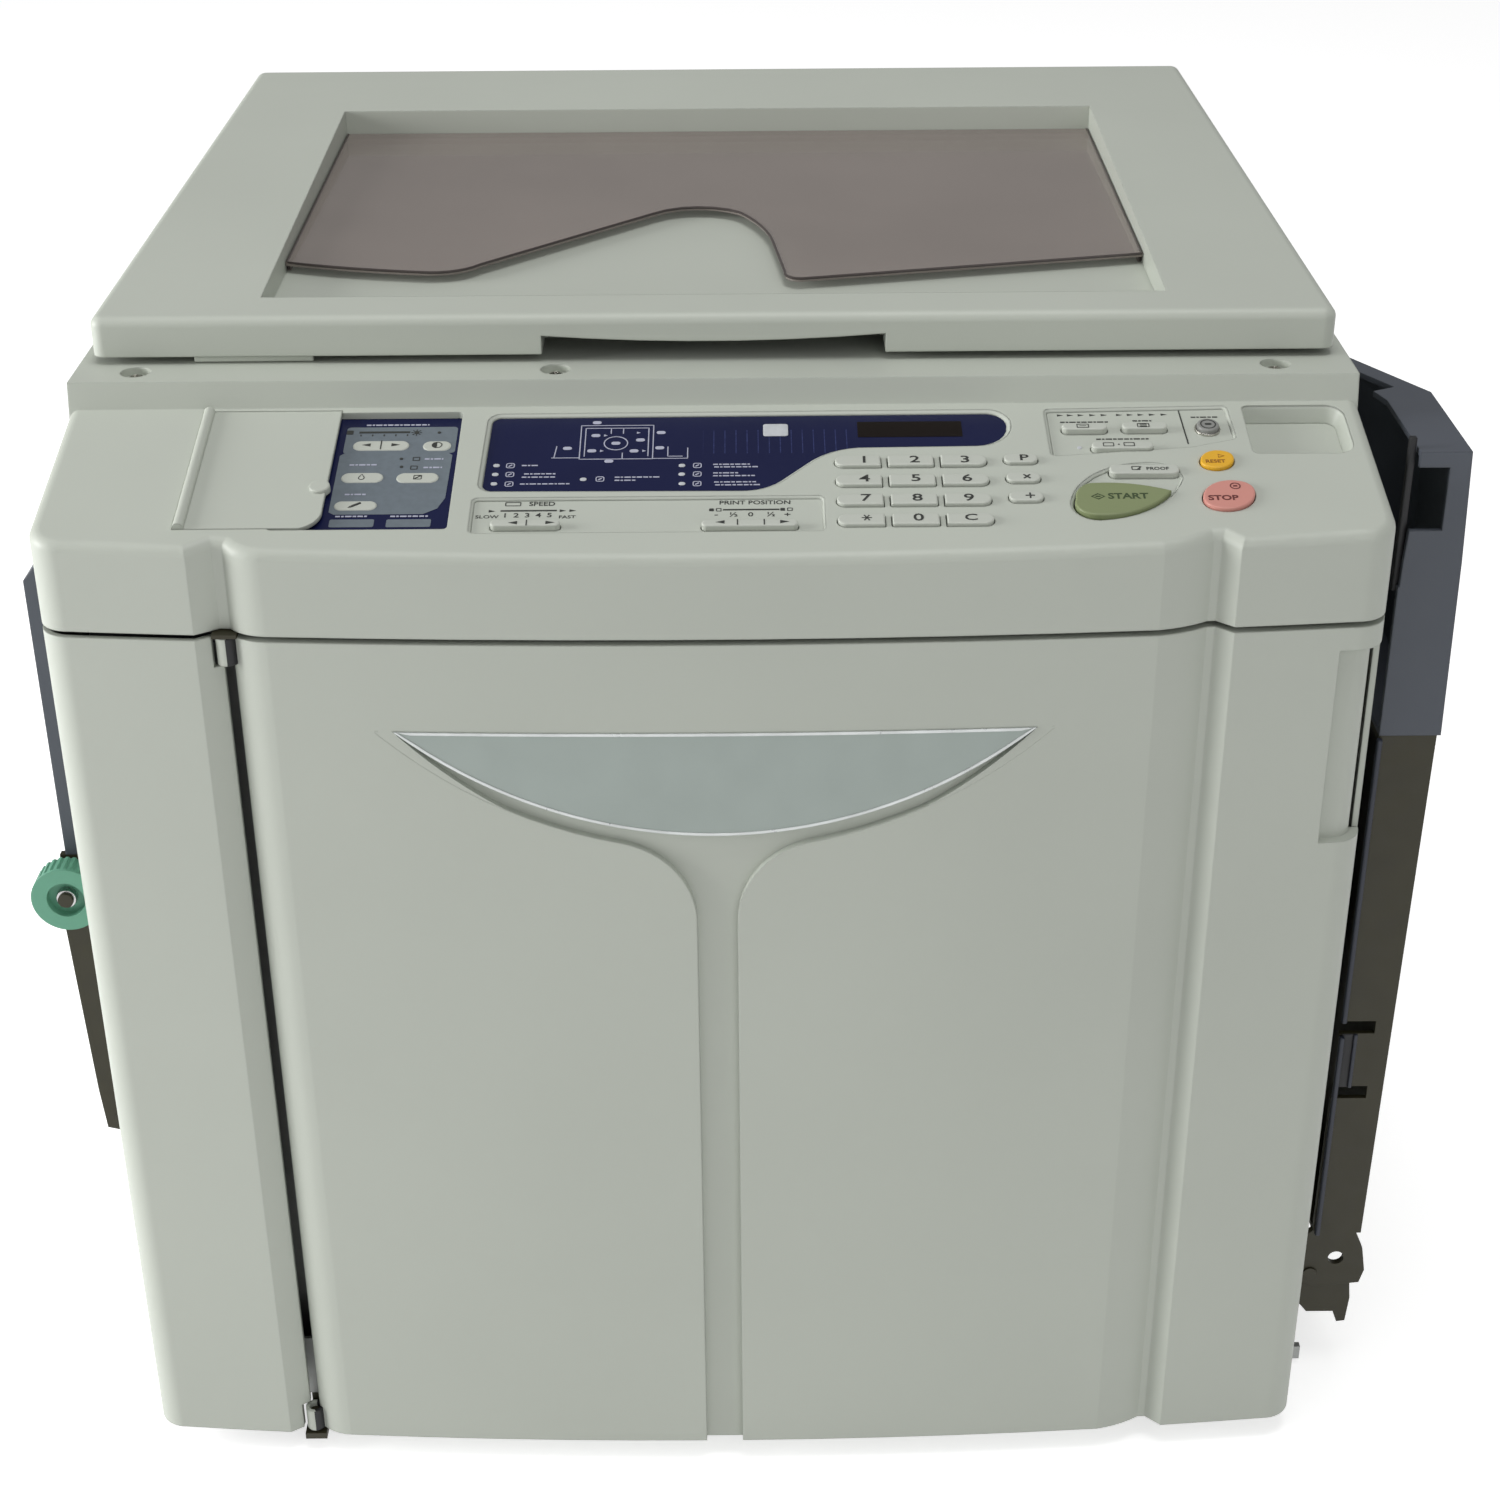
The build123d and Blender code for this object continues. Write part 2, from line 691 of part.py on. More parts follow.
def flap_face(grow=0.0):
    """Flap over the rarely used keys; its front right corner is cut back in a curve."""
    x0 = at_x(FLAP_X0) - grow
    x1 = at_x(FLAP_X1) + grow
    s0 = at_s(FLAP_S0) - grow
    s1 = at_s(FLAP_S1) + grow
    bend = (x1, s0 + 15)
    foot = (x1 - 9, s0)
    return outline_face((
        ((x0, s0), (x0, s1)),
        ((x0, s1), (x1, s1)),
        ((x1, s1), bend),
        (bend, (x1 - 2.6, s0 + 5), foot),
        (foot, (x0, s0)),
    ))


def dish_face():
    """Dish for small things, with tight corners at the left."""
    corners = [(at_x(x), at_s(s)) for x, s in ((261, 65), (261, 107), (311, 107), (311, 65))]
    face = make_face(Polyline(*corners, close=True))
    face = fillet(face.vertices().sort_by(Axis.X)[:2], DISH_LEFT_R)
    return fillet(face.vertices().sort_by(Axis.X)[-2:], DISH_R)


def casing_profile(drop, wall):
    """Side profile (y, z) of the upper casing, lowered for its inside."""
    slope = math.tan(SLOPE)
    front = FRONT_Y - 4
    return (
        (front, CASE_Z0 - drop),
        (front, PANEL_Z + front * slope - wall),
        (RISER_Y + drop, RISER_Z + drop * slope - wall),
        (RISER_Y + RISER_LEAN + drop, LEDGE_Z - drop),
        (BACK_Y + 4, LEDGE_Z - drop),
        (BACK_Y + 4, CASE_Z0 - drop),
    )


def upper_casing():
    """Console and scanner housing: one shell, open below."""
    outer = prism(PLAN, CASE_Z0, LEDGE_Z + 5) & side_prism(casing_profile(0, 0), -HALF_W - 5, HALF_W + 5)
    panel_top = [f for f in outer.faces() if abs(f.normal_at().dot(PANEL_PLANE.z_dir)) > 0.999][0]
    front_edges = [e for e in panel_top.edges() if (e @ 0.5).Y < FRONT_END_Y + CORNER_R]
    outer = fillet(front_edges, PANEL_EDGE_R)
    inner = prism(inset(SKIN), CASE_Z0 - 5, LEDGE_Z) & side_prism(
        casing_profile(SKIN, PANEL_WALL), -HALF_W - 5, HALF_W + 5)
    shell = outer - inner
    dish = dish_face()
    shell += on_panel(offset(dish, SKIN), -DISH_D - SKIN, -PANEL_WALL / 2)
    shell -= on_panel(dish, -DISH_D, SKIN)
    plate_z = -PLATE_SINK - WINDOW_T
    shell += on_panel(offset(sub_plate_face(), SKIN), plate_z - SKIN, -PANEL_WALL / 2)
    shell -= on_panel(offset(sub_plate_face(), WINDOW_FIT), plate_z, SKIN)
    shell -= on_panel(offset(window_face(), WINDOW_FIT), -WINDOW_SINK - WINDOW_T, SKIN)
    shell -= on_panel(flap_face(FLAP_GAP), -FLAP_T - FLAP_UNDER, SKIN)
    shell -= on_panel(almond_face(), -SHALLOW, SKIN)
    shell -= on_panel(pad_face(-114, 53, 4.5, 33, SKIN), -SHALLOW, SKIN)
    shell -= on_panel(image_pad_face(), -SHALLOW, SKIN)
    for name, face in key_faces().items():
        shell -= on_panel(offset(face, KEY_GAP), -key_sink(name) - PANEL_WALL - WELL_UNDER, SKIN)
    y = RISER_Y + POCKET_IN
    floor = LEDGE_Z - POCKET_D
    for x in (-HALF_W + POCKET_LEFT_IN, POCKET_MID_X, HALF_W - POCKET_RIGHT_IN):
        shell += rod_z(x, y, POCKET_R + POCKET_WALL, floor - POCKET_WALL, LEDGE_Z - SKIN / 2)
        shell -= rod_z(x, y, POCKET_R, floor, LEDGE_Z + 1)
    return add_glass_seat(shell)


def add_glass_seat(shell):
    seat_w = GLASS_W / 2 + 2 * GLASS_SEAT
    seat_d = GLASS_D / 2 + 2 * GLASS_SEAT
    under = LEDGE_Z - GLASS_T
    shell += block(-seat_w, seat_w, GLASS_Y - seat_d, GLASS_Y + seat_d, under - FRAME_T, LEDGE_Z - SKIN / 2)
    rim_w = GLASS_W / 2 + GLASS_FIT
    rim_d = GLASS_D / 2 + GLASS_FIT
    shell -= block(-rim_w, rim_w, GLASS_Y - rim_d, GLASS_Y + rim_d, under, LEDGE_Z + 1)
    hole_w = GLASS_W / 2 - GLASS_SEAT
    hole_d = GLASS_D / 2 - GLASS_SEAT
    shell -= block(-hole_w, hole_w, GLASS_Y - hole_d, GLASS_Y + hole_d, under - FRAME_T - 1, under + 1)
    return shell


def platen_glass():
    y0 = GLASS_Y - GLASS_D / 2
    return block(-GLASS_W / 2, GLASS_W / 2, y0, y0 + GLASS_D, LEDGE_Z - GLASS_T, LEDGE_Z)


def control_windows():
    """Display window and key plate, each let into the panel."""
    window = on_panel(window_face(), -WINDOW_SINK - WINDOW_T, -WINDOW_SINK)
    plate_z = -PLATE_SINK - WINDOW_T
    plate = on_panel(sub_plate_face(), plate_z, -PLATE_SINK)
    faces = key_faces()
    for name in SUB_KEYS:
        plate -= on_panel(offset(faces[name], KEY_GAP), plate_z - 1, 1)
    return Compound([window, plate])


def key_sink(name):
    """How far a key and its well stand lower than the panel's own keys."""
    return PLATE_SINK if name in SUB_KEYS else 0


def make_key(name, face):
    low = -key_sink(name)
    up = SUB_KEY_UP if name in SUB_KEYS else KEY_UP
    key = on_panel(face, low - KEY_DOWN, low + up)
    top = key.faces().filter_by(lambda f: f.normal_at().dot(PANEL_PLANE.z_dir) > 0.999).sort_by(Axis.Z)[-1]
    return fillet(top.edges(), KEY_EDGE)


def panel_flap():
    """Flap with a barrel along its left edge and a round finger tab at the right."""
    pin_x = at_x(FLAP_X0) + FLAP_BARREL_R
    mid_s = at_s((FLAP_S0 + FLAP_S1) / 2)
    flap = on_panel(flap_face(), -FLAP_T, 0)
    length = at_s(FLAP_S1) - at_s(FLAP_S0)
    edge_strip = Pos(pin_x - FLAP_BARREL_R, mid_s) * Rectangle(2 * FLAP_BARREL_R, length + 2)
    flap -= on_panel(edge_strip, -FLAP_T - 1, 1)
    barrel = PANEL_PLANE * Pos(pin_x, mid_s, FLAP_BARREL_UP) * Rot(90, 0, 0) * Cylinder(FLAP_BARREL_R, length)
    tab_face = Pos(at_x(FLAP_X1) - FLAP_TAB_IN, at_s(FLAP_TAB_S)) * Circle(FLAP_TAB_R)
    tab = on_panel(tab_face, -FLAP_T, FLAP_TAB_UP)
    tab = fillet(tab.edges().filter_by(GeomType.CIRCLE).sort_by(Axis.Z)[-1], FLAP_TAB_UP / 2)
    return flap + barrel + tab


def lid_plan(wall):
    half_front = LID_FRONT_W / 2 - wall
    half_back = LID_BACK_W / 2 - wall
    y0 = LID_FRONT_Y + wall
    y1 = LID_BACK_Y - wall
    corners = ((-half_front, y0), (half_front, y0), (half_back, y1), (-half_back, y1))
    return fillet(make_face(Polyline(*corners, close=True)).vertices(), LID_CORNER_R - wall)


def lid_profile(wall):
    slope = math.tan(LID_SLOPE)
    y0 = LID_FRONT_Y - 10
    y1 = LID_BACK_Y + 10
    base = LID_Z + LID_FRONT_H - wall
    return (
        (y0, LID_Z - wall),
        (y0, base + (y0 - LID_FRONT_Y) * slope),
        (y1, base + (y1 - LID_FRONT_Y) * slope),
        (y1, LID_Z - wall),
    )


def lid_top(y):
    return LID_Z + LID_FRONT_H + (y - LID_FRONT_Y) * math.tan(LID_SLOPE)


def recess_floor(y):
    """The tray's floor, which falls away from the lid's top towards the back."""
    part = (y - RECESS_Y0) / (RECESS_Y1 - RECESS_Y0)
    return lid_top(y) - RECESS_D - (RECESS_D_BACK - RECESS_D) * part


def recess_prism(grow):
    """The lid's shallow tray."""
    half = RECESS_W / 2 + grow
    y0 = RECESS_Y0 - grow
    y1 = RECESS_Y1 + grow
    z0 = recess_floor(y0) - grow
    z1 = recess_floor(y1) - grow
    return side_prism(((y0, z0), (y1, z1), (y1, z1 + LID_ROOM), (y0, z0 + LID_ROOM)), -half, half)


def platen_cover():
    """Hollow lid with a tray in its top, a finger grip in front and knuckles behind."""
    half = max(LID_FRONT_W, LID_BACK_W) / 2 + LID_WALL
    lid = prism(lid_plan(0), LID_Z, LID_Z + LID_ROOM) & side_prism(lid_profile(0), -half, half)
    lid_up = Vector(0, -math.sin(LID_SLOPE), math.cos(LID_SLOPE))
    top_face = [f for f in lid.faces() if f.normal_at().dot(lid_up) > 0.999][0]
    lid = fillet(top_face.edges(), LID_EDGE_R)
    top = LID_Z + LID_ROOM
    core = prism(lid_plan(LID_WALL), LID_Z - 1, top) & side_prism(lid_profile(LID_WALL), -half, half)
    keep_x = RECESS_W / 2 + LID_WALL
    keep = block(-keep_x, keep_x, RECESS_Y0 - LID_WALL, RECESS_Y1 + LID_WALL, LID_Z - 1, top)
    grip_x = GRIP_W / 2 + LID_WALL
    grip_wall = block(-grip_x, grip_x, LID_FRONT_Y, LID_FRONT_Y + GRIP_D + LID_WALL, LID_Z - 1, top)
    lid -= core - keep - grip_wall
    lid -= recess_prism(0)
    grip_end = LID_Z + GRIP_END_H
    grip_mid = LID_Z + GRIP_MID_H
    grip = make_face([
        Line((-GRIP_W / 2, LID_Z - 1), (-GRIP_W / 2, grip_end)),
        ThreePointArc((-GRIP_W / 2, grip_end), (0, grip_mid), (GRIP_W / 2, grip_end)),
        Line((GRIP_W / 2, grip_end), (GRIP_W / 2, LID_Z - 1)),
        Line((GRIP_W / 2, LID_Z - 1), (-GRIP_W / 2, LID_Z - 1)),
    ])
    lid -= front_face_prism(grip, LID_FRONT_Y - 5, LID_FRONT_Y + GRIP_D)
    for side in (-1, 1):
        x0 = side * HINGE_X - HINGE_KNUCKLE / 2
        x1 = x0 + HINGE_KNUCKLE
        lid += rod_x(HINGE_Y, HINGE_Z, HINGE_R, x0, x1)
        lid += block(x0, x1, LID_BACK_Y - 2 * LID_WALL, HINGE_Y, HINGE_Z - 3, HINGE_Z + HINGE_R - 1)
        lid -= rod_x(HINGE_Y, HINGE_Z, HINGE_PIN_R + PIN_FIT, x0 - 1, x1 + 1)
    return lid


def platen_pad():
    half_w = GLASS_W / 2 + PAD_EDGE
    half_d = GLASS_D / 2 + PAD_EDGE
    return block(-half_w, half_w, GLASS_Y - half_d, GLASS_Y + half_d, LEDGE_Z + PAD_GAP, LID_Z)


def document_sheet():
    """Smoked sheet over the lid's tray; its wavy front edge leaves room for fingers."""
    x = RECESS_W / 2 - SHEET_SIDE
    front = RECESS_Y0
    back = RECESS_Y1 - SHEET_SIDE
    outline = outline_face((
        ((-x, back), (-x, front + 74.5)),
        ((-x, front + 74.5), (-x + 36, front + 64), (-x + 78, front + 56.2)),
        ((-x + 78, front + 56.2), (-140, front + 57.5), (-125.3, front + 68.8)),
        ((-125.3, front + 68.8), (-34.9, front + 156.5)),
        ((-34.9, front + 156.5), (-10, front + 167.5), (14, front + 157)),
        ((14, front + 157), (25.8, front + 131), (31.6, front + 103.5)),
        ((31.6, front + 103.5), (37.3, front + 51.8)),
        ((37.3, front + 51.8), (39.6, front + 44.4), (46, front + 41.8)),
        ((46, front + 41.8), (x, front + 79)),
        ((x, front + 79), (x, back)),
        ((x, back), (-x, back)),
    ))
    y0 = RECESS_Y0
    y1 = RECESS_Y1
    floor0 = recess_floor(y0)
    floor1 = recess_floor(y1)
    low = SHEET_LIFT
    high = SHEET_LIFT + SHEET_T
    slab = side_prism(((y0, floor0 + low), (y1, floor1 + low), (y1, floor1 + high), (y0, floor0 + high)), -x, x)
    sheet = prism(outline, LID_Z, LID_Z + LID_ROOM) & slab
    legs = side_prism(((y0, floor0), (y1, floor1), (y1, floor1 + high), (y0, floor0 + high)), -x, x)
    leg_y = RECESS_Y0 + SHEET_LEG_IN
    for side, y in ((-1, leg_y), (1, leg_y + SHEET_LEG_STEP)):
        inner = side * (x - SHEET_T)
        leg = block(min(side * x, inner), max(side * x, inner), y, y + SHEET_LEG, LID_Z, LID_Z + LID_ROOM)
        sheet += leg & legs
    edge = block(-x, x, back - SHEET_T, back, LID_Z, LID_Z + LID_ROOM)
    return sheet + (edge & legs)


def lens_face(grow):
    """Half lens: straight on top, one arc below."""
    half = BADGE_W / 2 + grow
    bottom = BADGE_TOP - BADGE_SAG - grow
    return make_face([
        Line((-half, BADGE_TOP), (half, BADGE_TOP)),
        ThreePointArc((half, BADGE_TOP), (0, bottom), (-half, BADGE_TOP)),
    ])


def funnel_face(grow=0.0):
    """Hollow below the badge, running down into the narrow stem."""
    lens = lens_face(BADGE_MARGIN + grow)
    stem_top = BADGE_TOP - BADGE_SAG / 2
    stem_low = SKIRT_Z - 5
    stem = Pos(0, (stem_low + stem_top) / 2) * Rectangle(STEM_W + 2 * grow, stem_top - stem_low)
    face = (lens + stem).face()
    bottom_arc = BADGE_TOP - BADGE_SAG - 2 * BADGE_MARGIN - grow
    corners = [v for v in face.vertices() if abs(abs(v.X) - STEM_W / 2 - grow) < 0.01 and v.Y > bottom_arc]
    return fillet(corners, STEM_BLEND)


def shell_band(outer, inner, z0, z1):
    """Layer of the front between two depths below its surface."""
    return prism(inset(outer) - inset(inner), z0, z1)


def front_shell(x0, x1):
    """Skin of the bowed front between two x."""
    skin = shell_band(0, SKIN, SKIRT_Z, SEAM_Z)
    return skin & block(x0, x1, FRONT_Y - 5, FRONT_END_Y, SKIRT_Z - 1, SEAM_Z + 1)


def left_front_panel():
    panel = front_shell(-HALF_W - 1, DOOR_GAP_X - DOOR_GAP_W / 2)
    pivot_y = groove_floor(DOOR_GAP_X) - PIVOT_RISE
    for z0 in (SKIRT_Z - 1, SEAM_Z - DOOR_KNUCKLE_H - 2):
        panel -= rod_z(DOOR_GAP_X, pivot_y, PIVOT_CLEAR, z0, z0 + DOOR_KNUCKLE_H + 3)
    return panel


def front_door():
    """Door skin with its end flanges, the hollow for badge and stem, and a finger pocket."""
    x0 = DOOR_GAP_X + DOOR_GAP_W / 2
    end_y = FRONT_END_Y - PART_GAP
    skin = shell_band(0, SKIN, SKIRT_Z, SEAM_Z)
    back_y = FRONT_Y + BADGE_W
    funnel = front_face_prism(funnel_face(), FRONT_Y - 5, back_y)
    behind = front_face_prism(funnel_face(BACKING), FRONT_Y - 5, back_y)
    skin += behind & shell_band(SKIN / 2, STEM_D + BACKING, SKIRT_Z, SEAM_Z)
    skin -= funnel & shell_band(-1, STEM_D, SKIRT_Z - 1, SEAM_Z)
    pocket_z0 = GRIP_POCKET_Z0 - BACKING
    pocket_z1 = GRIP_POCKET_Z1 + BACKING
    pocket_x = HALF_W - GRIP_POCKET_IN
    skin += shell_band(SKIN / 2, GRIP_POCKET_D + BACKING, pocket_z0, pocket_z1) & block(
        pocket_x - BACKING, HALF_W, FRONT_Y, BACK_Y, pocket_z0, pocket_z1)
    skin -= shell_band(-1, GRIP_POCKET_D, GRIP_POCKET_Z0, GRIP_POCKET_Z1) & block(
        pocket_x, HALF_W + 1, FRONT_Y, BACK_Y, GRIP_POCKET_Z0, GRIP_POCKET_Z1)
    door = skin & block(x0, HALF_W + 1, FRONT_Y - 5, end_y, SKIRT_Z - 1, SEAM_Z + 1)
    for z in (SKIRT_Z, SEAM_Z - SKIN):
        flange = block(x0 + 1, HALF_W, FRONT_Y, DOOR_FLANGE_Y, z, z + SKIN)
        door += prism(inset(SKIN / 2), z, z + SKIN) & flange
    pivot_y = groove_floor(DOOR_GAP_X) - PIVOT_RISE
    for z0 in (SKIRT_Z, SEAM_Z - DOOR_KNUCKLE_H):
        door += rod_z(DOOR_GAP_X, pivot_y, DOOR_KNUCKLE_R, z0, z0 + DOOR_KNUCKLE_H)
    door -= funnel & shell_band(-1, STEM_D, SKIRT_Z - 1, SEAM_Z)
    door -= rod_z(DOOR_GAP_X, pivot_y, DOOR_PIVOT_R + PIN_FIT, SKIRT_Z - 1, SEAM_Z + 1)
    return door


def door_badge():
    """Plate that fills the lens in the door's hollow."""
    lens = front_face_prism(lens_face(-BADGE_GAP), FRONT_Y - 5, BACK_Y)
    front_half = block(-HALF_W, HALF_W, FRONT_Y - 5, FRONT_END_Y, SKIRT_Z, SEAM_Z)
    return lens & front_half & shell_band(-BADGE_PROUD, STEM_D, SKIRT_Z, SEAM_Z)


def side_cover(side, mouth_z0, mouth_z1):
    """Flat side with a paper mouth, and a flange that laps inside the upper casing."""
    outer = side * HALF_W
    inner = side * INNER_X
    lap = side * (INNER_X - LAP_T)
    x0, x1 = min(outer, inner), max(outer, inner)
    cover = block(x0, x1, FRONT_END_Y, BACK_Y, SKIRT_Z, SEAM_Z)
    a0, a1 = min(inner, lap), max(inner, lap)
    cover += block(a0, a1, FRONT_PLATE_Y + LAP_END, BACK_Y - LAP_END, SEAM_Z - LAP_T * 3, SEAM_Z + COVER_LAP)
    cover -= block(x0 - 1, x1 + 1, PAPER_Y0, PAPER_Y1, mouth_z0, mouth_z1)
    return cover


def rear_cover():
    cover = block(-INNER_X, INNER_X, BACK_Y - SKIN, BACK_Y, SKIRT_Z, SEAM_Z)
    half_w = INLET_W / 2 + INLET_GAP
    half_h = INLET_H / 2 + INLET_GAP
    y0 = BACK_Y - SKIN - 1
    y1 = BACK_Y + 1
    cover -= block(INLET_X - half_w, INLET_X + half_w, y0, y1, INLET_Z - half_h, INLET_Z + half_h)
    for column in range(2):
        for row in range(VENT_ROWS):
            x = VENT_X + column * VENT_STEP_X
            z = VENT_Z + row * VENT_STEP_Z
            cover -= block(x - VENT_W / 2, x + VENT_W / 2, y0, y1, z - VENT_H / 2, z + VENT_H / 2)
    return cover


def base_frame():
    """Steel pan with the stand's fixing holes and a lug at the right."""
    x = INNER_X
    y1 = BACK_Y - SKIN
    pan = block(-x, x, BASE_FRONT_Y, y1, BASE_Z, BASE_Z + BASE_H)
    t = SHEET_STEEL
    pan -= block(-x + t, x - t, BASE_FRONT_Y + t, y1 - t, BASE_Z + t, BASE_Z + BASE_H + 1)
    mid_y = (FOOT_FRONT_Y + FOOT_BACK_Y) / 2
    for sx in (-1, 1):
        for sy in (-1, 1):
            x_hole = sx * STAND_SPACING_X / 2
            y_hole = mid_y + sy * STAND_SPACING_Y / 2
            pan -= rod_z(x_hole, y_hole, STAND_HOLE_R, BASE_Z - 1, BASE_Z + BASE_H / 2)
    return pan + base_lug()


def base_lug():
    """Bent lug under the right side, with an upright tip."""
    y1 = TRAY_Y0 + LUG_T
    root = INNER_X - LUG_OUT
    tip = HALF_W + LUG_OUT - LUG_T
    lug = block(root, HALF_W + LUG_OUT, TRAY_Y0, y1, LUG_Z0, LUG_Z1)
    lug += block(root, root + 3 * LUG_T, TRAY_Y0, y1, LUG_Z0, BASE_Z)
    return lug + block(tip - LUG_T, tip, TRAY_Y0, y1, LUG_Z0, LUG_TOP)


def rubber_feet():
    feet = []
    for x in (-FOOT_X, FOOT_X):
        for y in (FOOT_FRONT_Y, FOOT_BACK_Y):
            foot = Pos(x, y, BASE_Z / 2) * Cylinder(FOOT_R, BASE_Z)
            feet.append(chamfer(foot.edges().group_by(Axis.Z)[0], FOOT_CHAMFER))
    return Compound(feet)


def shaft_holes(plate, y):
    shafts = (
        (DRUM_X, DRUM_Z, DRUM_SHAFT_R),
        (DRUM_X, PRESS_Z, PRESS_SHAFT_R),
        (ROLL_X, ROLL_Z, ROLL_SHAFT_R),
    )
    for x, z, r in shafts:
        plate -= rod_y(x, z, r + RUN_FIT, y - 1, y + SHEET_STEEL + 1)
    return plate


def front_plate():
    """Steel plate behind the door; the drum's opening has a bearing bar across it."""
    z0 = BASE_Z + SHEET_STEEL
    y1 = FRONT_PLATE_Y + SHEET_STEEL
    plate = block(-PLATE_X, PLATE_X, FRONT_PLATE_Y, y1, z0, PLATE_TOP)
    hole = rod_y(DRUM_X, DRUM_Z, DRUM_OPENING_R, FRONT_PLATE_Y - 1, y1 + 1)
    half = DRUM_BAR_W / 2
    bar_z0 = DRUM_Z - DRUM_OPENING_R - DRUM_BAR_BELOW
    bar_z1 = DRUM_Z + DRUM_OPENING_R + DRUM_BAR_ABOVE
    bar = block(DRUM_X - half, DRUM_X + half, FRONT_PLATE_Y - 2, y1 + 2, bar_z0, bar_z1)
    plate -= hole - bar
    return shaft_holes(plate, FRONT_PLATE_Y)


def rear_plate():
    z0 = BASE_Z + SHEET_STEEL
    plate = block(-PLATE_X, PLATE_X, REAR_PLATE_Y, REAR_PLATE_Y + SHEET_STEEL, z0, PLATE_TOP)
    y0 = REAR_PLATE_Y - 1
    y1 = REAR_PLATE_Y + SHEET_STEEL + 1
    for x, z in ((CABLE_LOW_X, CABLE_LOW_Z), (CABLE_HIGH_X, CABLE_HIGH_Z)):
        plate -= block(x - CABLE_W / 2, x + CABLE_W / 2, y0, y1, z - CABLE_H / 2, z + CABLE_H / 2)
    return shaft_holes(plate, REAR_PLATE_Y)


def shaft_y(x, z, r):
    return rod_y(x, z, r, FRONT_PLATE_Y - SHAFT_OUT, REAR_PLATE_Y + SHEET_STEEL + SHAFT_OUT)


def print_drum():
    """Screen cylinder with end flanges, its gear and shaft."""
    drum = rod_y(DRUM_X, DRUM_Z, DRUM_R, DRUM_Y0, DRUM_Y1)
    drum -= rod_y(DRUM_X, DRUM_Z, DRUM_R - DRUM_WALL, DRUM_Y0 + DRUM_FLANGE, DRUM_Y1 - DRUM_FLANGE)
    drum += rod_y(DRUM_X, DRUM_Z, DRUM_GEAR_R, DRUM_Y1, DRUM_Y1 + DRUM_GEAR_T)
    return drum + shaft_y(DRUM_X, DRUM_Z, DRUM_SHAFT_R)


def plain_roller(x, z, r, shaft_r):
    roller = rod_y(x, z, r, DRUM_Y0 + ROLLER_END, DRUM_Y1 - ROLLER_END)
    return roller + shaft_y(x, z, shaft_r)


def scanner_rail():
    return rod_x(GLASS_Y, RAIL_Z, RAIL_R, -INNER_X, INNER_X)


def scanner_carriage():
    """Lamp and sensor bar with a bush on the rail."""
    x0 = CARRIAGE_X - CARRIAGE_W / 2
    x1 = CARRIAGE_X + CARRIAGE_W / 2
    half_d = GLASS_D / 2 - CARRIAGE_END
    slit_d = half_d - CARRIAGE_SLIT / 2
    slit_z = CARRIAGE_Z1 - CARRIAGE_SLIT_D
    slit_x0 = CARRIAGE_X - CARRIAGE_SLIT / 2
    slit_x1 = CARRIAGE_X + CARRIAGE_SLIT / 2
    bush_d = CARRIAGE_BUSH / 2
    bar = block(x0, x1, GLASS_Y - half_d, GLASS_Y + half_d, CARRIAGE_Z0, CARRIAGE_Z1)
    bar -= block(slit_x0, slit_x1, GLASS_Y - slit_d, GLASS_Y + slit_d, slit_z, CARRIAGE_Z1 + 1)
    bar += block(x0, x1, GLASS_Y - bush_d, GLASS_Y + bush_d, RAIL_Z - BUSH_DROP, CARRIAGE_Z0 + 1)
    return bar - rod_x(GLASS_Y, RAIL_Z, RAIL_R + RUN_FIT, x0 - 1, x1 + 1)


def main_motor():
    """Motor bolted to the back of the rear plate."""
    y0 = REAR_PLATE_Y + SHEET_STEEL
    motor = rod_y(MOTOR_X, MOTOR_Z, MOTOR_R, y0, y0 + MOTOR_L)
    half = MOTOR_R + MOTOR_FLANGE
    y1 = y0 + MOTOR_FLANGE_T
    return motor + block(MOTOR_X - half, MOTOR_X + half, y0, y1, MOTOR_Z - half, MOTOR_Z + half)


def power_unit():
    """Supply box on the base, with the mains inlet through the rear cover."""
    z0 = BASE_Z + SHEET_STEEL
    box_y1 = BACK_Y - SKIN - POWER_BACK_GAP
    unit = block(POWER_X0, POWER_X1, POWER_Y0, box_y1, z0, POWER_Z1)
    y0 = box_y1 - POWER_BACK_GAP
    y1 = BACK_Y + INLET_OUT
    half_w = INLET_W / 2
    half_h = INLET_H / 2
    unit += block(INLET_X - half_w, INLET_X + half_w, y0, y1, INLET_Z - half_h, INLET_Z + half_h)
    half_w = SOCKET_W / 2
    half_h = SOCKET_H / 2
    y0 = y1 - SOCKET_D
    return unit - block(INLET_X - half_w, INLET_X + half_w, y0, y1 + 1, INLET_Z - half_h, INLET_Z + half_h)


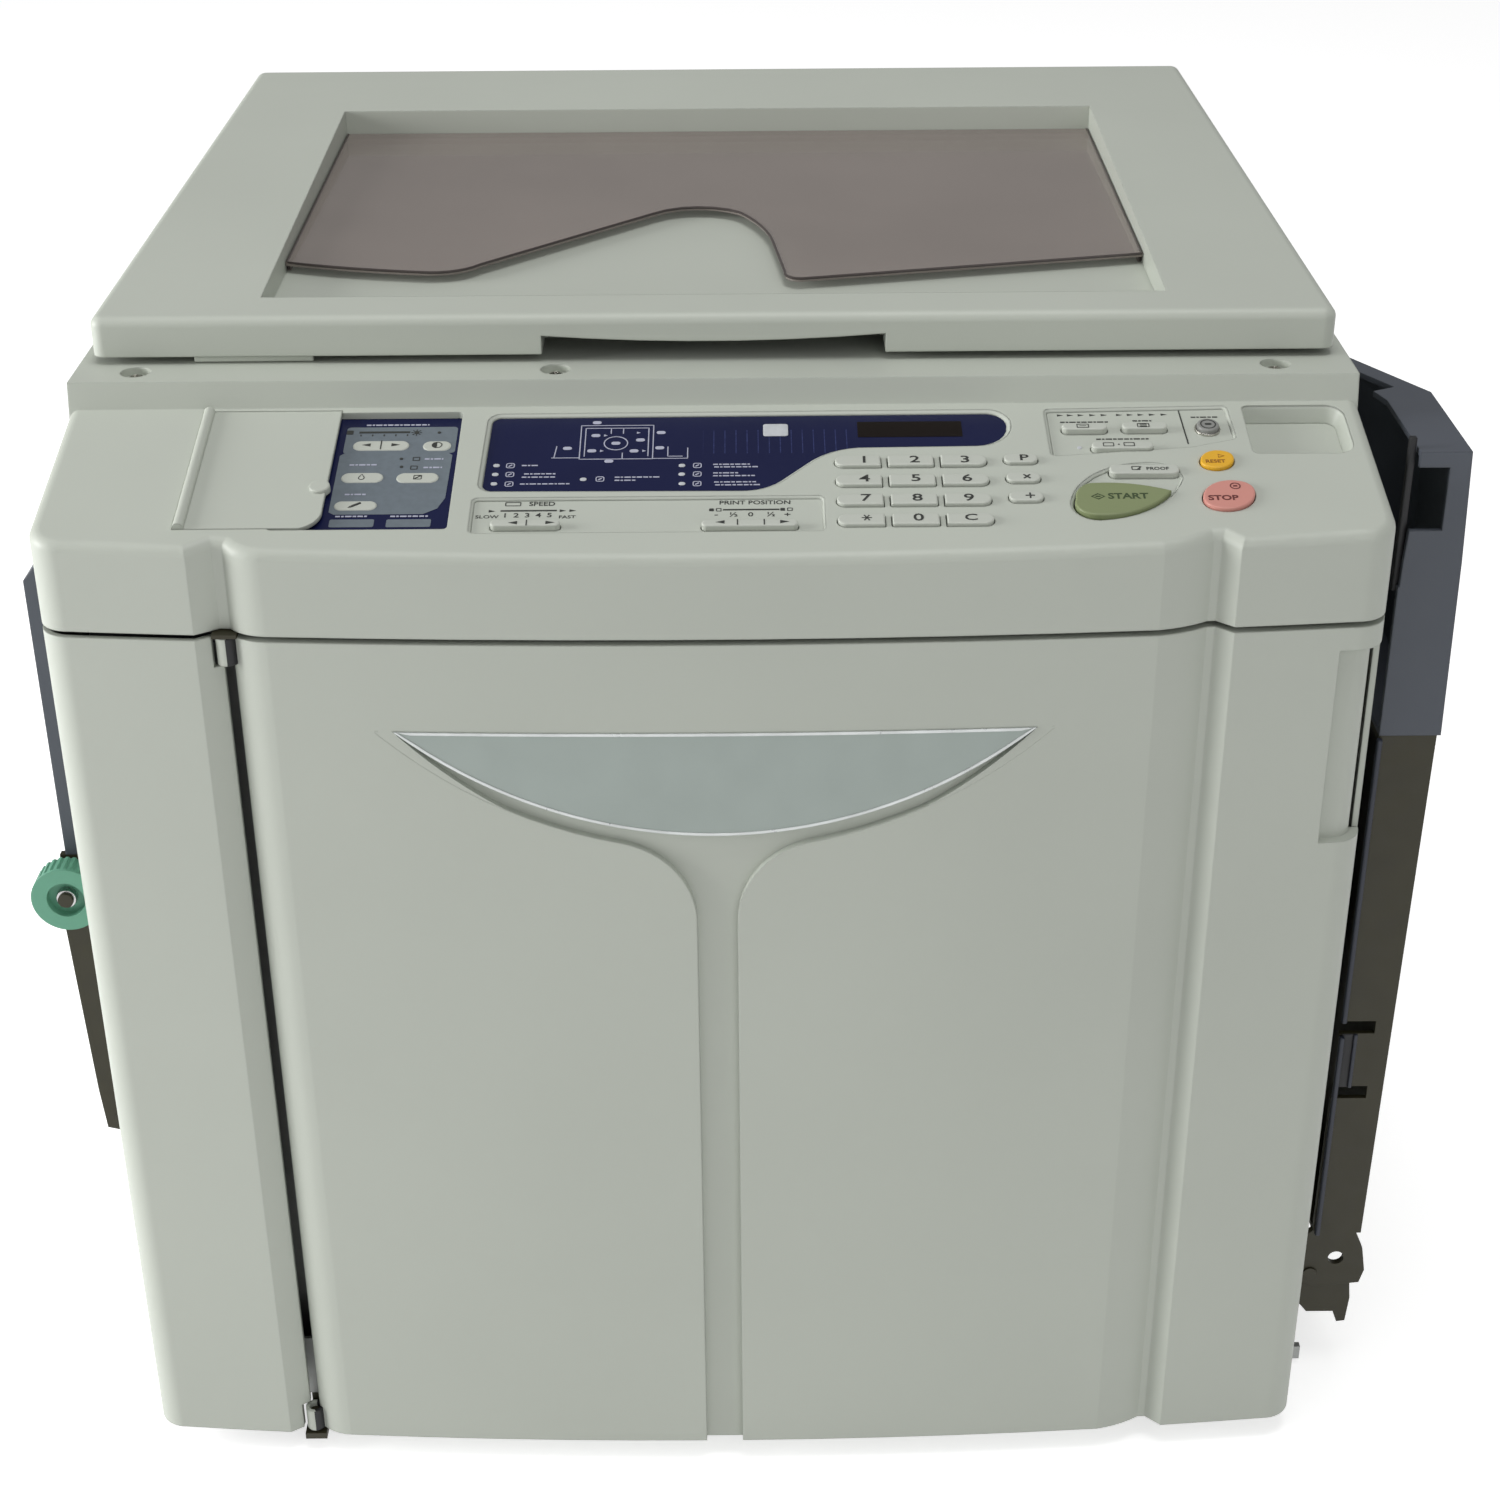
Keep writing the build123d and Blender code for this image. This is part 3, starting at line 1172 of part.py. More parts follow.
def tray_brackets():
    """Fixed ears with their pins, two for each tray; the receiving tray's reach down in a hook."""
    ears = []
    specs = (
        (-HALF_W, FEED_PIVOT_X, FEED_PIVOT_Z, -1),
        (HALF_W, EXIT_PIVOT_X, EXIT_PIVOT_Z, 1),
    )
    for wall, px, pz, side in specs:
        for arm_y, step in ((TRAY_Y0, 1), (TRAY_Y1 - ARM_T, -1)):
            inner = arm_y + ARM_T + ARM_GAP if step > 0 else arm_y - ARM_GAP - BRACKET_T
            tip = px + side * EAR_OUT
            outline = (
                (wall, pz - EAR_BELOW),
                (px, pz - EAR_BELOW + TRAY_PIN_R),
                (tip, pz - EAR_OUT / 2),
                (tip, pz + EAR_OUT / 2),
                (px, pz + EAR_ABOVE - 2 * TRAY_PIN_R),
                (wall, pz + EAR_ABOVE),
            )
            if side > 0:
                outline = outline[:1] + tuple((px + dx, pz + dz) for dx, dz in HOOK) + outline[4:]
            ear = front_prism(outline, inner, inner + BRACKET_T)
            pin0 = arm_y - 1 if step > 0 else arm_y - ARM_GAP - BRACKET_T
            pin1 = arm_y + ARM_T + ARM_GAP + BRACKET_T if step > 0 else arm_y + ARM_T + 1
            ears.append(ear + rod_y(px, pz, TRAY_PIN_R, pin0, pin1))
    return ears


def lid_brackets():
    """Cheeks and pin behind each knuckle of the lid."""
    found = []
    for side in (-1, 1):
        x0 = side * HINGE_X - HINGE_KNUCKLE / 2 - HINGE_SIDE
        x1 = side * HINGE_X + HINGE_KNUCKLE / 2 + HINGE_SIDE
        bracket = rod_x(HINGE_Y, HINGE_Z, HINGE_PIN_R, x0 - CHEEK_T, x1 + CHEEK_T)
        for c0, c1 in ((x0 - CHEEK_T, x0), (x1, x1 + CHEEK_T)):
            bracket += rod_x(HINGE_Y, HINGE_Z, HINGE_R - 1, c0, c1)
            bracket += block(c0, c1, HINGE_Y - HINGE_R + 1, HINGE_Y + HINGE_R - 1, LEDGE_Z, HINGE_Z)
        found.append(bracket)
    return found


def door_pivots():
    """Arms and pins that carry the door above and below."""
    pivot_y = groove_floor(DOOR_GAP_X) - PIVOT_RISE
    x0 = DOOR_GAP_X - PIVOT_ARM_W / 2
    x1 = DOOR_GAP_X + PIVOT_ARM_W / 2
    tip_y = pivot_y - DOOR_KNUCKLE_R
    low_z1 = SKIRT_Z - 2
    low_z0 = low_z1 - PIVOT_ARM_T
    root_y = BASE_FRONT_Y + PIVOT_ARM_W
    low = block(x0, x1, tip_y, root_y, low_z0, low_z1)
    low += block(x0, x1, BASE_FRONT_Y + 2, root_y, low_z0, BASE_Z)
    low += rod_z(DOOR_GAP_X, pivot_y, DOOR_PIVOT_R, low_z0, SKIRT_Z + DOOR_KNUCKLE_H - PIVOT_END)
    high_z0 = SEAM_Z + TOP_ARM_GAP
    high_z1 = high_z0 + TOP_ARM_T
    high = block(x0, x1, tip_y, FRONT_PLATE_Y + SHEET_STEEL, high_z0, high_z1)
    high += block(x0, x1, FRONT_PLATE_Y - PIVOT_ARM_T, FRONT_PLATE_Y, PLATE_TOP - 5 * PIVOT_ARM_T, high_z1)
    high += rod_z(DOOR_GAP_X, pivot_y, DOOR_PIVOT_R, SEAM_Z - DOOR_KNUCKLE_H + PIVOT_END, high_z1)
    return [low, high]


def hinge_brackets():
    return Compound(tray_brackets() + lid_brackets() + door_pivots())


def feed_tray():
    """Folded feed tray: a thick plastic plate with a raised middle."""
    outline = (
        (FEED_IN_X, FEED_Z0),
        (FEED_OUT_X, FEED_Z0),
        (FEED_OUT_X, FEED_Z1 - 6),
        (FEED_OUT_X + 5, FEED_Z1),
        (FEED_IN_X, FEED_Z1),
    )
    tray = front_prism(outline, TRAY_Y0, TRAY_Y1)
    bulge = (
        (FEED_OUT_X + 1, FEED_Z0 + 15),
        (FEED_BULGE_X, FEED_Z0 + 45),
        (FEED_BULGE_X, FEED_Z1 - 50),
        (FEED_OUT_X + 1, FEED_Z1 - 12),
    )
    tray += front_prism(bulge, TRAY_Y0 + 140, TRAY_Y1 - 60)
    hollow = (
        (FEED_IN_X + 1, FEED_Z0 + 8),
        (FEED_OUT_X + 4, FEED_Z0 + 8),
        (FEED_OUT_X + 4, FEED_Z1 - 12),
        (FEED_IN_X + 1, FEED_Z1 - 12),
    )
    return tray - front_prism(hollow, TRAY_Y0 + 8, TRAY_Y1 - 8)


def feed_tray_frame():
    """Steel carrier below the plate: two arms, a back sheet and the dial's stub."""
    px = FEED_PIVOT_X
    pz = FEED_PIVOT_Z
    arm = (
        (px - 9, pz - 6),
        (px + 6, pz - 10),
        (px + 9, pz),
        (FEED_IN_X, FEED_Z0 - 40),
        (FEED_IN_X, FEED_Z0),
        (FEED_OUT_X - 3, FEED_Z0),
        (FEED_OUT_X - 6, FEED_Z0 - 45),
        (FEED_OUT_X - 2, pz + 20),
    )
    sheet_x0 = FEED_IN_X - ARM_T
    frame = block(sheet_x0, sheet_x0 + SHEET_STEEL, TRAY_Y0, TRAY_Y1, pz + FEED_SKIRT, FEED_Z0)
    for y0 in (TRAY_Y0, TRAY_Y1 - ARM_T):
        frame += front_prism(arm, y0, y0 + ARM_T)
        frame -= rod_y(FEED_PIVOT_X, FEED_PIVOT_Z, TRAY_PIN_R + PIN_FIT, y0 - 1, y0 + ARM_T + 1)
    return frame + rod_y(DIAL_X, DIAL_Z, DIAL_SHAFT_R, DIAL_Y0 - 1, TRAY_Y0 + 1)


def adjusting_dial():
    """Knurled dial with a dished face on its stub."""
    dial = rod_y(DIAL_X, DIAL_Z, DIAL_R, DIAL_Y0, DIAL_Y0 + DIAL_T)
    back = DIAL_Y0 + DIAL_T + 1
    for step in range(DIAL_NOTCHES):
        angle = math.radians(step * 360 / DIAL_NOTCHES)
        x = DIAL_X + (DIAL_R + DIAL_NOTCH_OUT) * math.cos(angle)
        z = DIAL_Z + (DIAL_R + DIAL_NOTCH_OUT) * math.sin(angle)
        dial -= rod_y(x, z, DIAL_NOTCH_R, DIAL_Y0 + DIAL_RIM, back)
    dial -= rod_y(DIAL_X, DIAL_Z, DIAL_DISH_R, DIAL_Y0 - 1, DIAL_Y0 + DIAL_DISH_D)
    return dial - rod_y(DIAL_X, DIAL_Z, DIAL_SHAFT_R + RUN_FIT, DIAL_Y0 - 2, back)


def receiving_tray():
    """Folded steel receiving tray with its arms and two hooked slots."""
    x0 = EXIT_IN_X + 10
    x1 = EXIT_OUT_X - 2
    z0 = EXIT_PLATE_Z0
    z1 = EXIT_SPLIT_Z
    t = EXIT_WALL
    outline = ((x0, z0), (x1 - 4, z0), (x1, z1), (x0 + 2, z1))
    tray = front_prism(outline, TRAY_Y0, TRAY_Y1)
    hollow = ((x0 - 1, z0 + t), (x1 - 4 - t, z0 + t), (x1 - t, z1 - t), (x0 - 1, z1 - t))
    tray -= front_prism(hollow, TRAY_Y0 + t, TRAY_Y1 - t)
    for rise in (SLOT_LOW, SLOT_HIGH):
        z = z0 + rise
        tray -= block(x0 - 1, x0 + SLOT_W, TRAY_Y0 - 1, TRAY_Y0 + t + 1, z - SLOT_H / 2, z + SLOT_H / 2)
    px = EXIT_PIVOT_X
    pz = EXIT_PIVOT_Z
    arm = (
        (px - 9, pz - 4),
        (px + 4, pz - 10),
        (px + 29, pz - 7),
        (px + 31.3, pz + 2),
        (px + 28.6, pz + 18),
        (px + 23, z0 + 2),
        (px - 1, z0 + 2),
        (px - 11, pz + 22),
        (px - 9, pz + 8),
    )
    for y0 in (TRAY_Y0, TRAY_Y1 - ARM_T):
        tray += front_prism(arm, y0, y0 + ARM_T)
        tray -= rod_y(px, pz, TRAY_PIN_R + PIN_FIT, y0 - 1, y0 + ARM_T + 1)
        tray -= rod_y(px + 14, pz + 11, TRAY_PIN_R + 0.5, y0 - 1, y0 + ARM_T + 1)
    return tray


def receiving_hood():
    """Plastic upper end of the receiving tray, taller at the front, with an arm behind it."""
    side = HALF_W
    out = EXIT_OUT_X
    inner = EXIT_IN_X + 12
    z0 = EXIT_SPLIT_Z
    low = z0 + HOOD_LOW_H
    top = EXIT_TOP_Z
    t = EXIT_WALL
    y0 = TRAY_Y0
    hood = front_prism(((inner, z0), (out, z0), (out - 1.3, low), (inner, low)), y0, TRAY_Y1)
    plan = (
        (side + 21, y0),
        (side + 50, y0),
        (side + 50, y0 + 76.8),
        (side + 2, y0 + 163),
        (side + 2, y0 + 140),
        (side + 29, y0 + 92),
        (side + 17, y0 + 86),
        (side + 21, y0 + 72),
    )
    lean = (
        (side - 20, low - t),
        (out - 1.3, low - t),
        (out - 1.5, top - 58),
        (out - 2.5, top - 29),
        (out - 3.5, top),
        (side - 20, top),
    )
    reach = y0 + 170
    hood += prism(make_face(Polyline(*plan, close=True)), low - t, top) & front_prism(lean, y0 - 1, reach)
    hood -= front_prism(
        ((inner - 1, z0 + t), (out - t, z0 + t), (out - 1.3 - t, low - t), (inner - 1, low - t)),
        y0 + t, TRAY_Y1 - t)
    space = (
        (side - 10, y0 + t),
        (side + 47, y0 + t),
        (side + 47, y0 + 76),
        (side - 1.4, y0 + 163),
        (side - 10, y0 + 163),
    )
    room = [(x - t, z) for x, z in lean]
    room = [(x, top - t if z == top else z - 1) for x, z in room]
    hood -= prism(make_face(Polyline(*space, close=True)), low - t - 1, top - t) & front_prism(room, y0, reach)
    front = (
        (inner, z0),
        (out, z0),
        (out - 1.5, top - 58),
        (out - 2.5, top - 29),
        (out - 3.5, top),
        (side + 21, top),
        (side + 21, top - 8),
        (side + 36, top - 8),
        (side + 36, top - 41),
        (side + 20, top - 41),
        (side + 19, top - 58),
        (inner, top - 99),
    )
    hood -= block(side + 10, side + 36, y0 - 1, y0 + t + 1, top - 41, top - 8)
    return hood + front_prism(front, y0, y0 + t)


def build_all():
    put("base_frame", base_frame())
    put("rubber_feet", rubber_feet())
    put("front_plate", front_plate())
    put("rear_plate", rear_plate())
    put("left_cover", side_cover(-1, FEED_MOUTH_Z0, FEED_MOUTH_Z1))
    put("right_cover", side_cover(1, EXIT_MOUTH_Z0, EXIT_MOUTH_Z1))
    put("rear_cover", rear_cover())
    put("left_front_panel", left_front_panel())
    put("upper_casing", upper_casing())
    put("platen_glass", platen_glass())
    put("control_windows", control_windows())
    put("panel_flap", panel_flap())
    put("platen_cover", platen_cover())
    put("platen_pad", platen_pad())
    put("document_sheet", document_sheet())
    put("front_door", front_door())
    put("door_badge", door_badge())
    put("scanner_rail", scanner_rail())
    put("scanner_carriage", scanner_carriage())
    put("print_drum", print_drum())
    put("pressure_roller", plain_roller(DRUM_X, PRESS_Z, PRESS_R, PRESS_SHAFT_R))
    put("master_roll", plain_roller(ROLL_X, ROLL_Z, ROLL_R, ROLL_SHAFT_R))
    put("main_motor", main_motor())
    put("power_unit", power_unit())
    put("hinge_brackets", hinge_brackets())
    put("feed_tray", feed_tray())
    put("feed_tray_frame", feed_tray_frame())
    put("adjusting_dial", adjusting_dial())
    put("receiving_tray", receiving_tray())
    put("receiving_hood", receiving_hood())
    for name, face in key_faces().items():
        put(name, make_key(name, face))


build_all()
os.makedirs("parts", exist_ok=True)
for node, shape in parts.items():
    export_step(shape, "parts/" + node + ".step")
print(len(parts), "nodes")
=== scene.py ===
import json
import math

import bmesh
import bpy
from mathutils import Matrix, Vector


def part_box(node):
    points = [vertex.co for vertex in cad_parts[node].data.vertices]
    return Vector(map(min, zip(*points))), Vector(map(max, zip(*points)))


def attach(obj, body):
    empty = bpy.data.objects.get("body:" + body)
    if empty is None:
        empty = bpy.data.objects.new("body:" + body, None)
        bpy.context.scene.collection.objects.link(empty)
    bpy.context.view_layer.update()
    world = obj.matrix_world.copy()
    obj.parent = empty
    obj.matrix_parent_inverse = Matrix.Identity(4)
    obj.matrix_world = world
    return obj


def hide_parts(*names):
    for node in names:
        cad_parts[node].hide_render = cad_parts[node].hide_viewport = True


# Digital duplicator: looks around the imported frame.
# Helpers take millimetres in the part's drawing frame: x = 0 is the body's middle, y = 0 the
# line of its front corners with +Y to the back, z = 0 the floor.
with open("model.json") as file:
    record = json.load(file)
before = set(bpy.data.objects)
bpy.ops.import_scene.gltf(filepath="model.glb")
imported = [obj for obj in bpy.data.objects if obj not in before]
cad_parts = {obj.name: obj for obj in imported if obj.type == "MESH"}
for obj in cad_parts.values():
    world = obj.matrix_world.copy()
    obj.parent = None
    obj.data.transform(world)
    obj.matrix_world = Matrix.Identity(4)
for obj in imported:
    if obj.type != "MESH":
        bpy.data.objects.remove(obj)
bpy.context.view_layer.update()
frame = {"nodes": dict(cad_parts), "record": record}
MM = 0.001


def top_of(node):
    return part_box(node)[1] / MM


def foot_of(node):
    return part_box(node)[0] / MM


HALF_W = top_of("upper_casing").x
BOW = 16.0
FRONT_LINE = foot_of("upper_casing").y + BOW
BACK_Y = top_of("rear_cover").y - FRONT_LINE
LEDGE_Z = top_of("upper_casing").z
SEAM_Z = top_of("front_door").z
BOW_R = (HALF_W**2 + BOW**2) / (2 * BOW)

# Panel: a slope from its front line up to the riser
PANEL_Z = 555.0
PANEL_RISE = 25.0
RISER_Y = 108.0
SLOPE = math.atan2(PANEL_RISE, RISER_Y)
KEY_TOP = 1.8
WINDOW_H = -1.5           # face of the display window
PLATE_H = -3.6            # face of the sunk key plate
SUB_KEY_TOP = -3.0
HOLLOW_H = -1.4           # floor of the shallow hollows round the keys

KNUCKLE_X = -227.7        # part of the knuckles painted black as the shade of the gap beside the door
KNUCKLE_R = 2.2
KNUCKLE_H = 14.0

PRINT = 0.12              # thickness of printed marks
STEPS = 20                # points on a round outline
SHARP_ANGLE = math.radians(35)


def at(x, y, z):
    """Point of the shared frame, in metres, from millimetres in the drawing frame."""
    return Vector((x, y + FRONT_LINE, z)) * MM


def on_panel(x, s, h=0.0):
    """Point on the sloping panel: s climbs from its front line, h stands off it."""
    y = s * math.cos(SLOPE) - h * math.sin(SLOPE)
    z = PANEL_Z + s * math.sin(SLOPE) + h * math.cos(SLOPE)
    return at(x, y, z)


def front_y(x):
    return BOW_R - math.sqrt(BOW_R**2 - x * x) - BOW


def on_front(x, z, out):
    """Point on the bowed front, out millimetres proud of it."""
    return at(x, front_y(x) - out, z)


# Materials


def rgb(red, green, blue):
    """Screen colour, 0 to 255, as the renderer's linear colour."""
    def linear(c):
        c /= 255
        return c / 12.92 if c <= 0.04045 else ((c + 0.055) / 1.055)**2.4
    return (linear(red), linear(green), linear(blue), 1.0)


def shade(colour, factor):
    return tuple(min(1.0, c * factor) for c in colour[:3]) + (1.0,)


class Finish:
    """A node material: broad and fine colour drift, roughness drift, grain and softened edges."""

    def __init__(self, name, colour, rough, metallic=0.0):
        self.mat = bpy.data.materials.new(name)
        self.mat.use_nodes = True
        self.nodes = self.mat.node_tree.nodes
        self.links = self.mat.node_tree.links
        self.shader = self.nodes["Principled BSDF"]
        self.shader.inputs["Metallic"].default_value = metallic
        self.place = self.nodes.new("ShaderNodeTexCoord").outputs["Object"]
        self.colour = colour
        self.rough = rough

    def noise(self, scale, detail=3.0, source=None):
        node = self.nodes.new("ShaderNodeTexNoise")
        node.inputs["Scale"].default_value = scale
        node.inputs["Detail"].default_value = detail
        self.links.new(source or self.place, node.inputs["Vector"])
        return node.outputs["Fac"]

    def stretched(self, x, y, z):
        """Object coordinates scaled unevenly, for grain that runs one way."""
        node = self.nodes.new("ShaderNodeMapping")
        node.inputs["Scale"].default_value = (x, y, z)
        self.links.new(self.place, node.inputs["Vector"])
        return node.outputs["Vector"]

    def ramp(self, value, stops):
        node = self.nodes.new("ShaderNodeValToRGB")
        ends = node.color_ramp.elements
        while len(ends) < len(stops):
            ends.new(0.5)
        for end, (position, colour) in zip(ends, stops):
            end.position = position
            end.color = colour
        self.links.new(value, node.inputs["Fac"])
        return node.outputs["Color"]

    def mixed(self, factor, first, second):
        node = self.nodes.new("ShaderNodeMix")
        node.data_type = "RGBA"
        self.links.new(factor, node.inputs[0])
        self.links.new(first, node.inputs[6])
        self.links.new(second, node.inputs[7])
        return node.outputs[2]

    def math(self, kind, first, second=0.0):
        node = self.nodes.new("ShaderNodeMath")
        node.operation = kind
        for socket, value in zip(node.inputs, (first, second)):
            if isinstance(value, float):
                socket.default_value = value
            else:
                self.links.new(value, socket)
        return node.outputs[0]

    def axis(self, name):
        node = self.nodes.new("ShaderNodeSeparateXYZ")
        self.links.new(self.place, node.inputs[0])
        return node.outputs[name]

    def tint(self, drift=0.04, scale=5.0):
        """Base colour that drifts a little over the surface."""
        source = self.noise(scale)
        stops = ((0.3, shade(self.colour, 1 - drift)), (0.7, shade(self.colour, 1 + drift)))
        colour = self.ramp(source, stops)
        self.links.new(colour, self.shader.inputs["Base Color"])
        return colour

    def gloss(self, drift=0.06, scale=40.0):
        node = self.nodes.new("ShaderNodeMapRange")
        self.links.new(self.noise(scale), node.inputs["Value"])
        node.inputs["To Min"].default_value = max(0.0, self.rough - drift)
        node.inputs["To Max"].default_value = self.rough + drift
        self.links.new(node.outputs[0], self.shader.inputs["Roughness"])

    def grain(self, height, strength=0.3, distance=0.0002, soften=0.0):
        """Bump from a height, over edges rounded by soften metres."""
        bump = self.nodes.new("ShaderNodeBump")
        bump.inputs["Strength"].default_value = strength
        bump.inputs["Distance"].default_value = distance
        self.links.new(height, bump.inputs["Height"])
        if soften:
            edge = self.nodes.new("ShaderNodeBevel")
            edge.samples = 4
            edge.inputs["Radius"].default_value = soften
            self.links.new(edge.outputs[0], bump.inputs["Normal"])
        self.links.new(bump.outputs[0], self.shader.inputs["Normal"])


def moulded(name, colour, rough, soften=0.0012, drift=0.025, grain=1300.0):
    """Moulded plastic with a fine spark texture."""
    made = Finish(name, colour, rough)
    made.tint(drift)
    made.gloss()
    made.grain(made.noise(grain, 2.0), 0.25, 0.00012, soften)
    return made.mat


def metal(name, colour, rough, metallic, grain=(30.0, 900.0, 30.0), drift=0.12):
    """Sheet metal with faint drawn streaks and mottling."""
    made = Finish(name, colour, rough, metallic)
    made.tint(drift, 60.0)
    made.gloss(0.08, 120.0)
    made.grain(made.noise(1.0, 3.0, made.stretched(*grain)), 0.12, 0.0001, 0.0005)
    return made.mat


def printed(name, colour, rough=0.45, specular=0.5):
    made = Finish(name, colour, rough)
    made.shader.inputs["Specular IOR Level"].default_value = specular
    made.tint(0.06, 300.0)
    made.gloss(0.05, 400.0)
    return made.mat


# Faint lines of the display window, in its node's own coordinates
LINES_PITCH = 0.0054
LINES_SHARE = 0.09        # of the pitch
LINES_X = (-0.005, 0.067)
LINES_Y = (-0.2243, -0.2048)


def window_film():
    """Navy printed film under a clear face, with faint upright lines at the right."""
    made = Finish("navy_film", rgb(22, 27, 64), 0.25)
    x = made.axis("X")
    y = made.axis("Y")
    wave = made.math("FRACT", made.math("MULTIPLY", x, 1 / LINES_PITCH))
    line = made.math("LESS_THAN", wave, LINES_SHARE)

    def between(value, low, high):
        over, under = made.math("GREATER_THAN", value, low), made.math("LESS_THAN", value, high)
        return made.math("MULTIPLY", over, under)

    inside = made.math("MULTIPLY", between(x, *LINES_X), between(y, *LINES_Y))
    lit = made.math("MULTIPLY", made.math("MULTIPLY", line, inside), made.noise(700.0, 2.0))
    plain = made.tint(0.05, 30.0)
    strip = made.ramp(made.noise(500.0), ((0.3, rgb(48, 56, 104)), (0.7, rgb(70, 80, 132))))
    made.links.new(made.mixed(lit, plain, strip), made.shader.inputs["Base Color"])
    made.gloss(0.03, 20.0)
    made.grain(made.noise(60.0, 1.0), 0.04, 0.0002, 0.0004)
    made.shader.inputs["Specular IOR Level"].default_value = 0.16
    return made.mat


def see_through(name, colour, alpha, rough=0.08):
    made = Finish(name, colour, rough)
    made.tint(0.05, 12.0)
    made.gloss(0.03, 30.0)
    made.grain(made.noise(25.0, 1.0), 0.03, 0.0003, 0.0006)
    made.shader.inputs["Alpha"].default_value = alpha
    return made.mat


def screen_metal():
    """The drum's fine screen: a grid of small dark openings in steel."""
    made = Finish("drum_metal", rgb(150, 152, 154), 0.35, 0.9)
    cells = made.nodes.new("ShaderNodeTexVoronoi")
    cells.inputs["Scale"].default_value = 420.0
    made.links.new(made.place, cells.inputs["Vector"])
    colour = made.ramp(cells.outputs["Distance"], ((0.12, rgb(70, 72, 76)), (0.34, rgb(165, 167, 170))))
    made.links.new(colour, made.shader.inputs["Base Color"])
    made.gloss(0.07, 200.0)
    made.grain(cells.outputs["Distance"], 0.35, 0.0003, 0.0005)
    return made.mat


def foam_film():
    made = Finish("foam", rgb(226, 228, 224), 0.6)
    made.tint(0.02, 20.0)
    made.gloss(0.05, 60.0)
    made.grain(made.noise(350.0, 3.0), 0.3, 0.0002, 0.0015)
    return made.mat


def rubber(name, colour):
    made = Finish(name, colour, 0.8)
    made.tint(0.1, 80.0)
    made.gloss(0.08, 90.0)
    made.grain(made.noise(1800.0, 2.0), 0.4, 0.0001, 0.001)
    return made.mat


CASING = rgb(189, 194, 184)
MATERIALS = {
    "casing": moulded("casing", CASING, 0.46),
    "glass": see_through("glass", rgb(205, 222, 216), 0.22, 0.03),
    "navy_film": window_film(),
    "smoked": see_through("smoked", rgb(154, 144, 138), 0.66),
    "foam": foam_film(),
    "badge": metal("badge", rgb(158, 168, 163), 0.45, 0.25, grain=(900.0, 30.0, 30.0), drift=0.03),
    "zinc_steel": metal("zinc_steel", rgb(160, 162, 160), 0.42, 0.85, drift=0.05),
    "rail_steel": metal("rail_steel", rgb(190, 190, 190), 0.25, 1.0),
    "rubber": rubber("rubber", rgb(40, 40, 42)),
    "dark_plastic": moulded("dark_plastic", rgb(34, 35, 38), 0.5),
    "drum_metal": screen_metal(),
    "master_paper": moulded("master_paper", rgb(222, 218, 204), 0.75, grain=500.0),
    "motor_metal": metal("motor_metal", rgb(60, 61, 64), 0.5, 0.7),
    "tray_plastic": moulded("tray_plastic", rgb(78, 83, 92), 0.5, drift=0.05),
    "bronze_steel": metal("bronze_steel", rgb(46, 43, 24), 0.52, 0.1, grain=(30.0, 30.0, 400.0)),
    "dial_green": moulded("dial_green", rgb(105, 166, 140), 0.48, 0.0004),
    "key_white": moulded("key_white", rgb(192, 196, 187), 0.42, 0.0005, 0.015),
    "key_grey": moulded("key_grey", rgb(140, 141, 138), 0.38, 0.0004),
    "key_green": moulded("key_green", rgb(131, 142, 101), 0.42, 0.0006, 0.03),
    "key_pink": moulded("key_pink", rgb(210, 144, 133), 0.42, 0.0006, 0.03),
    "key_yellow": moulded("key_yellow", rgb(231, 176, 40), 0.42, 0.0006, 0.03),
}
INK = printed("dark_ink", rgb(46, 48, 45))
PALE_INK = printed("pale_ink", rgb(178, 180, 198))
GREY_PRINT = printed("grey_print", rgb(106, 116, 124), 0.4)
GREEN_INK = printed("green_ink", rgb(56, 72, 40))
RED_INK = printed("red_ink", rgb(98, 42, 40))
AMBER_INK = printed("amber_ink", rgb(140, 84, 20))
LENS = printed("lens", rgb(196, 199, 203), 0.3)
EDGE = printed("sheet_edge", rgb(66, 58, 56), 0.35)
LCD = printed("lcd", rgb(20, 12, 9), 0.35, 0.12)
BLACK = moulded("black_plastic", rgb(20, 21, 24), 0.55)
CHROME = metal("plated_screw", rgb(196, 194, 186), 0.28, 1.0)
NAVY_TRIM = moulded("navy_trim", rgb(34, 40, 54), 0.45)
FLUSH = moulded("flush_casing", CASING, 0.46, soften=0.0)
METAL_RIM = metal("badge_rim", rgb(205, 209, 208), 0.3, 0.5)


def dress_nodes():
    """Every CAD node takes the material of its slot in the record."""
    for part in frame["record"]["subparts"]:
        data = frame["nodes"][part["node"]].data
        data.materials.clear()
        data.materials.append(MATERIALS[part["material_slot"]])
    # painted shade of the door's gap, over its hinge knuckles
    paint_knuckle_shade()


def paint_knuckle_shade():
    """Painted shade: knuckle faces in line with the gap beside the door are painted black, so the gap's
    shade runs on over them.
    """
    door = frame["nodes"]["front_door"]
    door.data.materials.append(BLACK)
    low = foot_of("front_door").z + KNUCKLE_H
    high = SEAM_Z - KNUCKLE_H
    for face in door.data.polygons:
        middle = door.matrix_world @ face.center / MM
        if abs(middle.x - KNUCKLE_X) < KNUCKLE_R and not low < middle.z < high:
            # painted shade: black where the gap beside the door runs
            face.material_index = 1


# Outlines, as points about their own middle


def arc_points(cx, cy, r, start, end, steps):
    turn = math.radians(end - start) / steps
    first = math.radians(start)
    angles = [first + k * turn for k in range(steps + 1)]
    return [(cx + r * math.cos(a), cy + r * math.sin(a)) for a in angles]


def rounded(width, height, r, steps=5):
    """Rectangle with round corners."""
    a = width / 2 - r
    b = height / 2 - r
    corners = ((a, b, 0), (-a, b, 90), (-a, -b, 180), (a, -b, 270))
    return [p for cx, cy, start in corners for p in arc_points(cx, cy, r, start, start + 90, steps)]


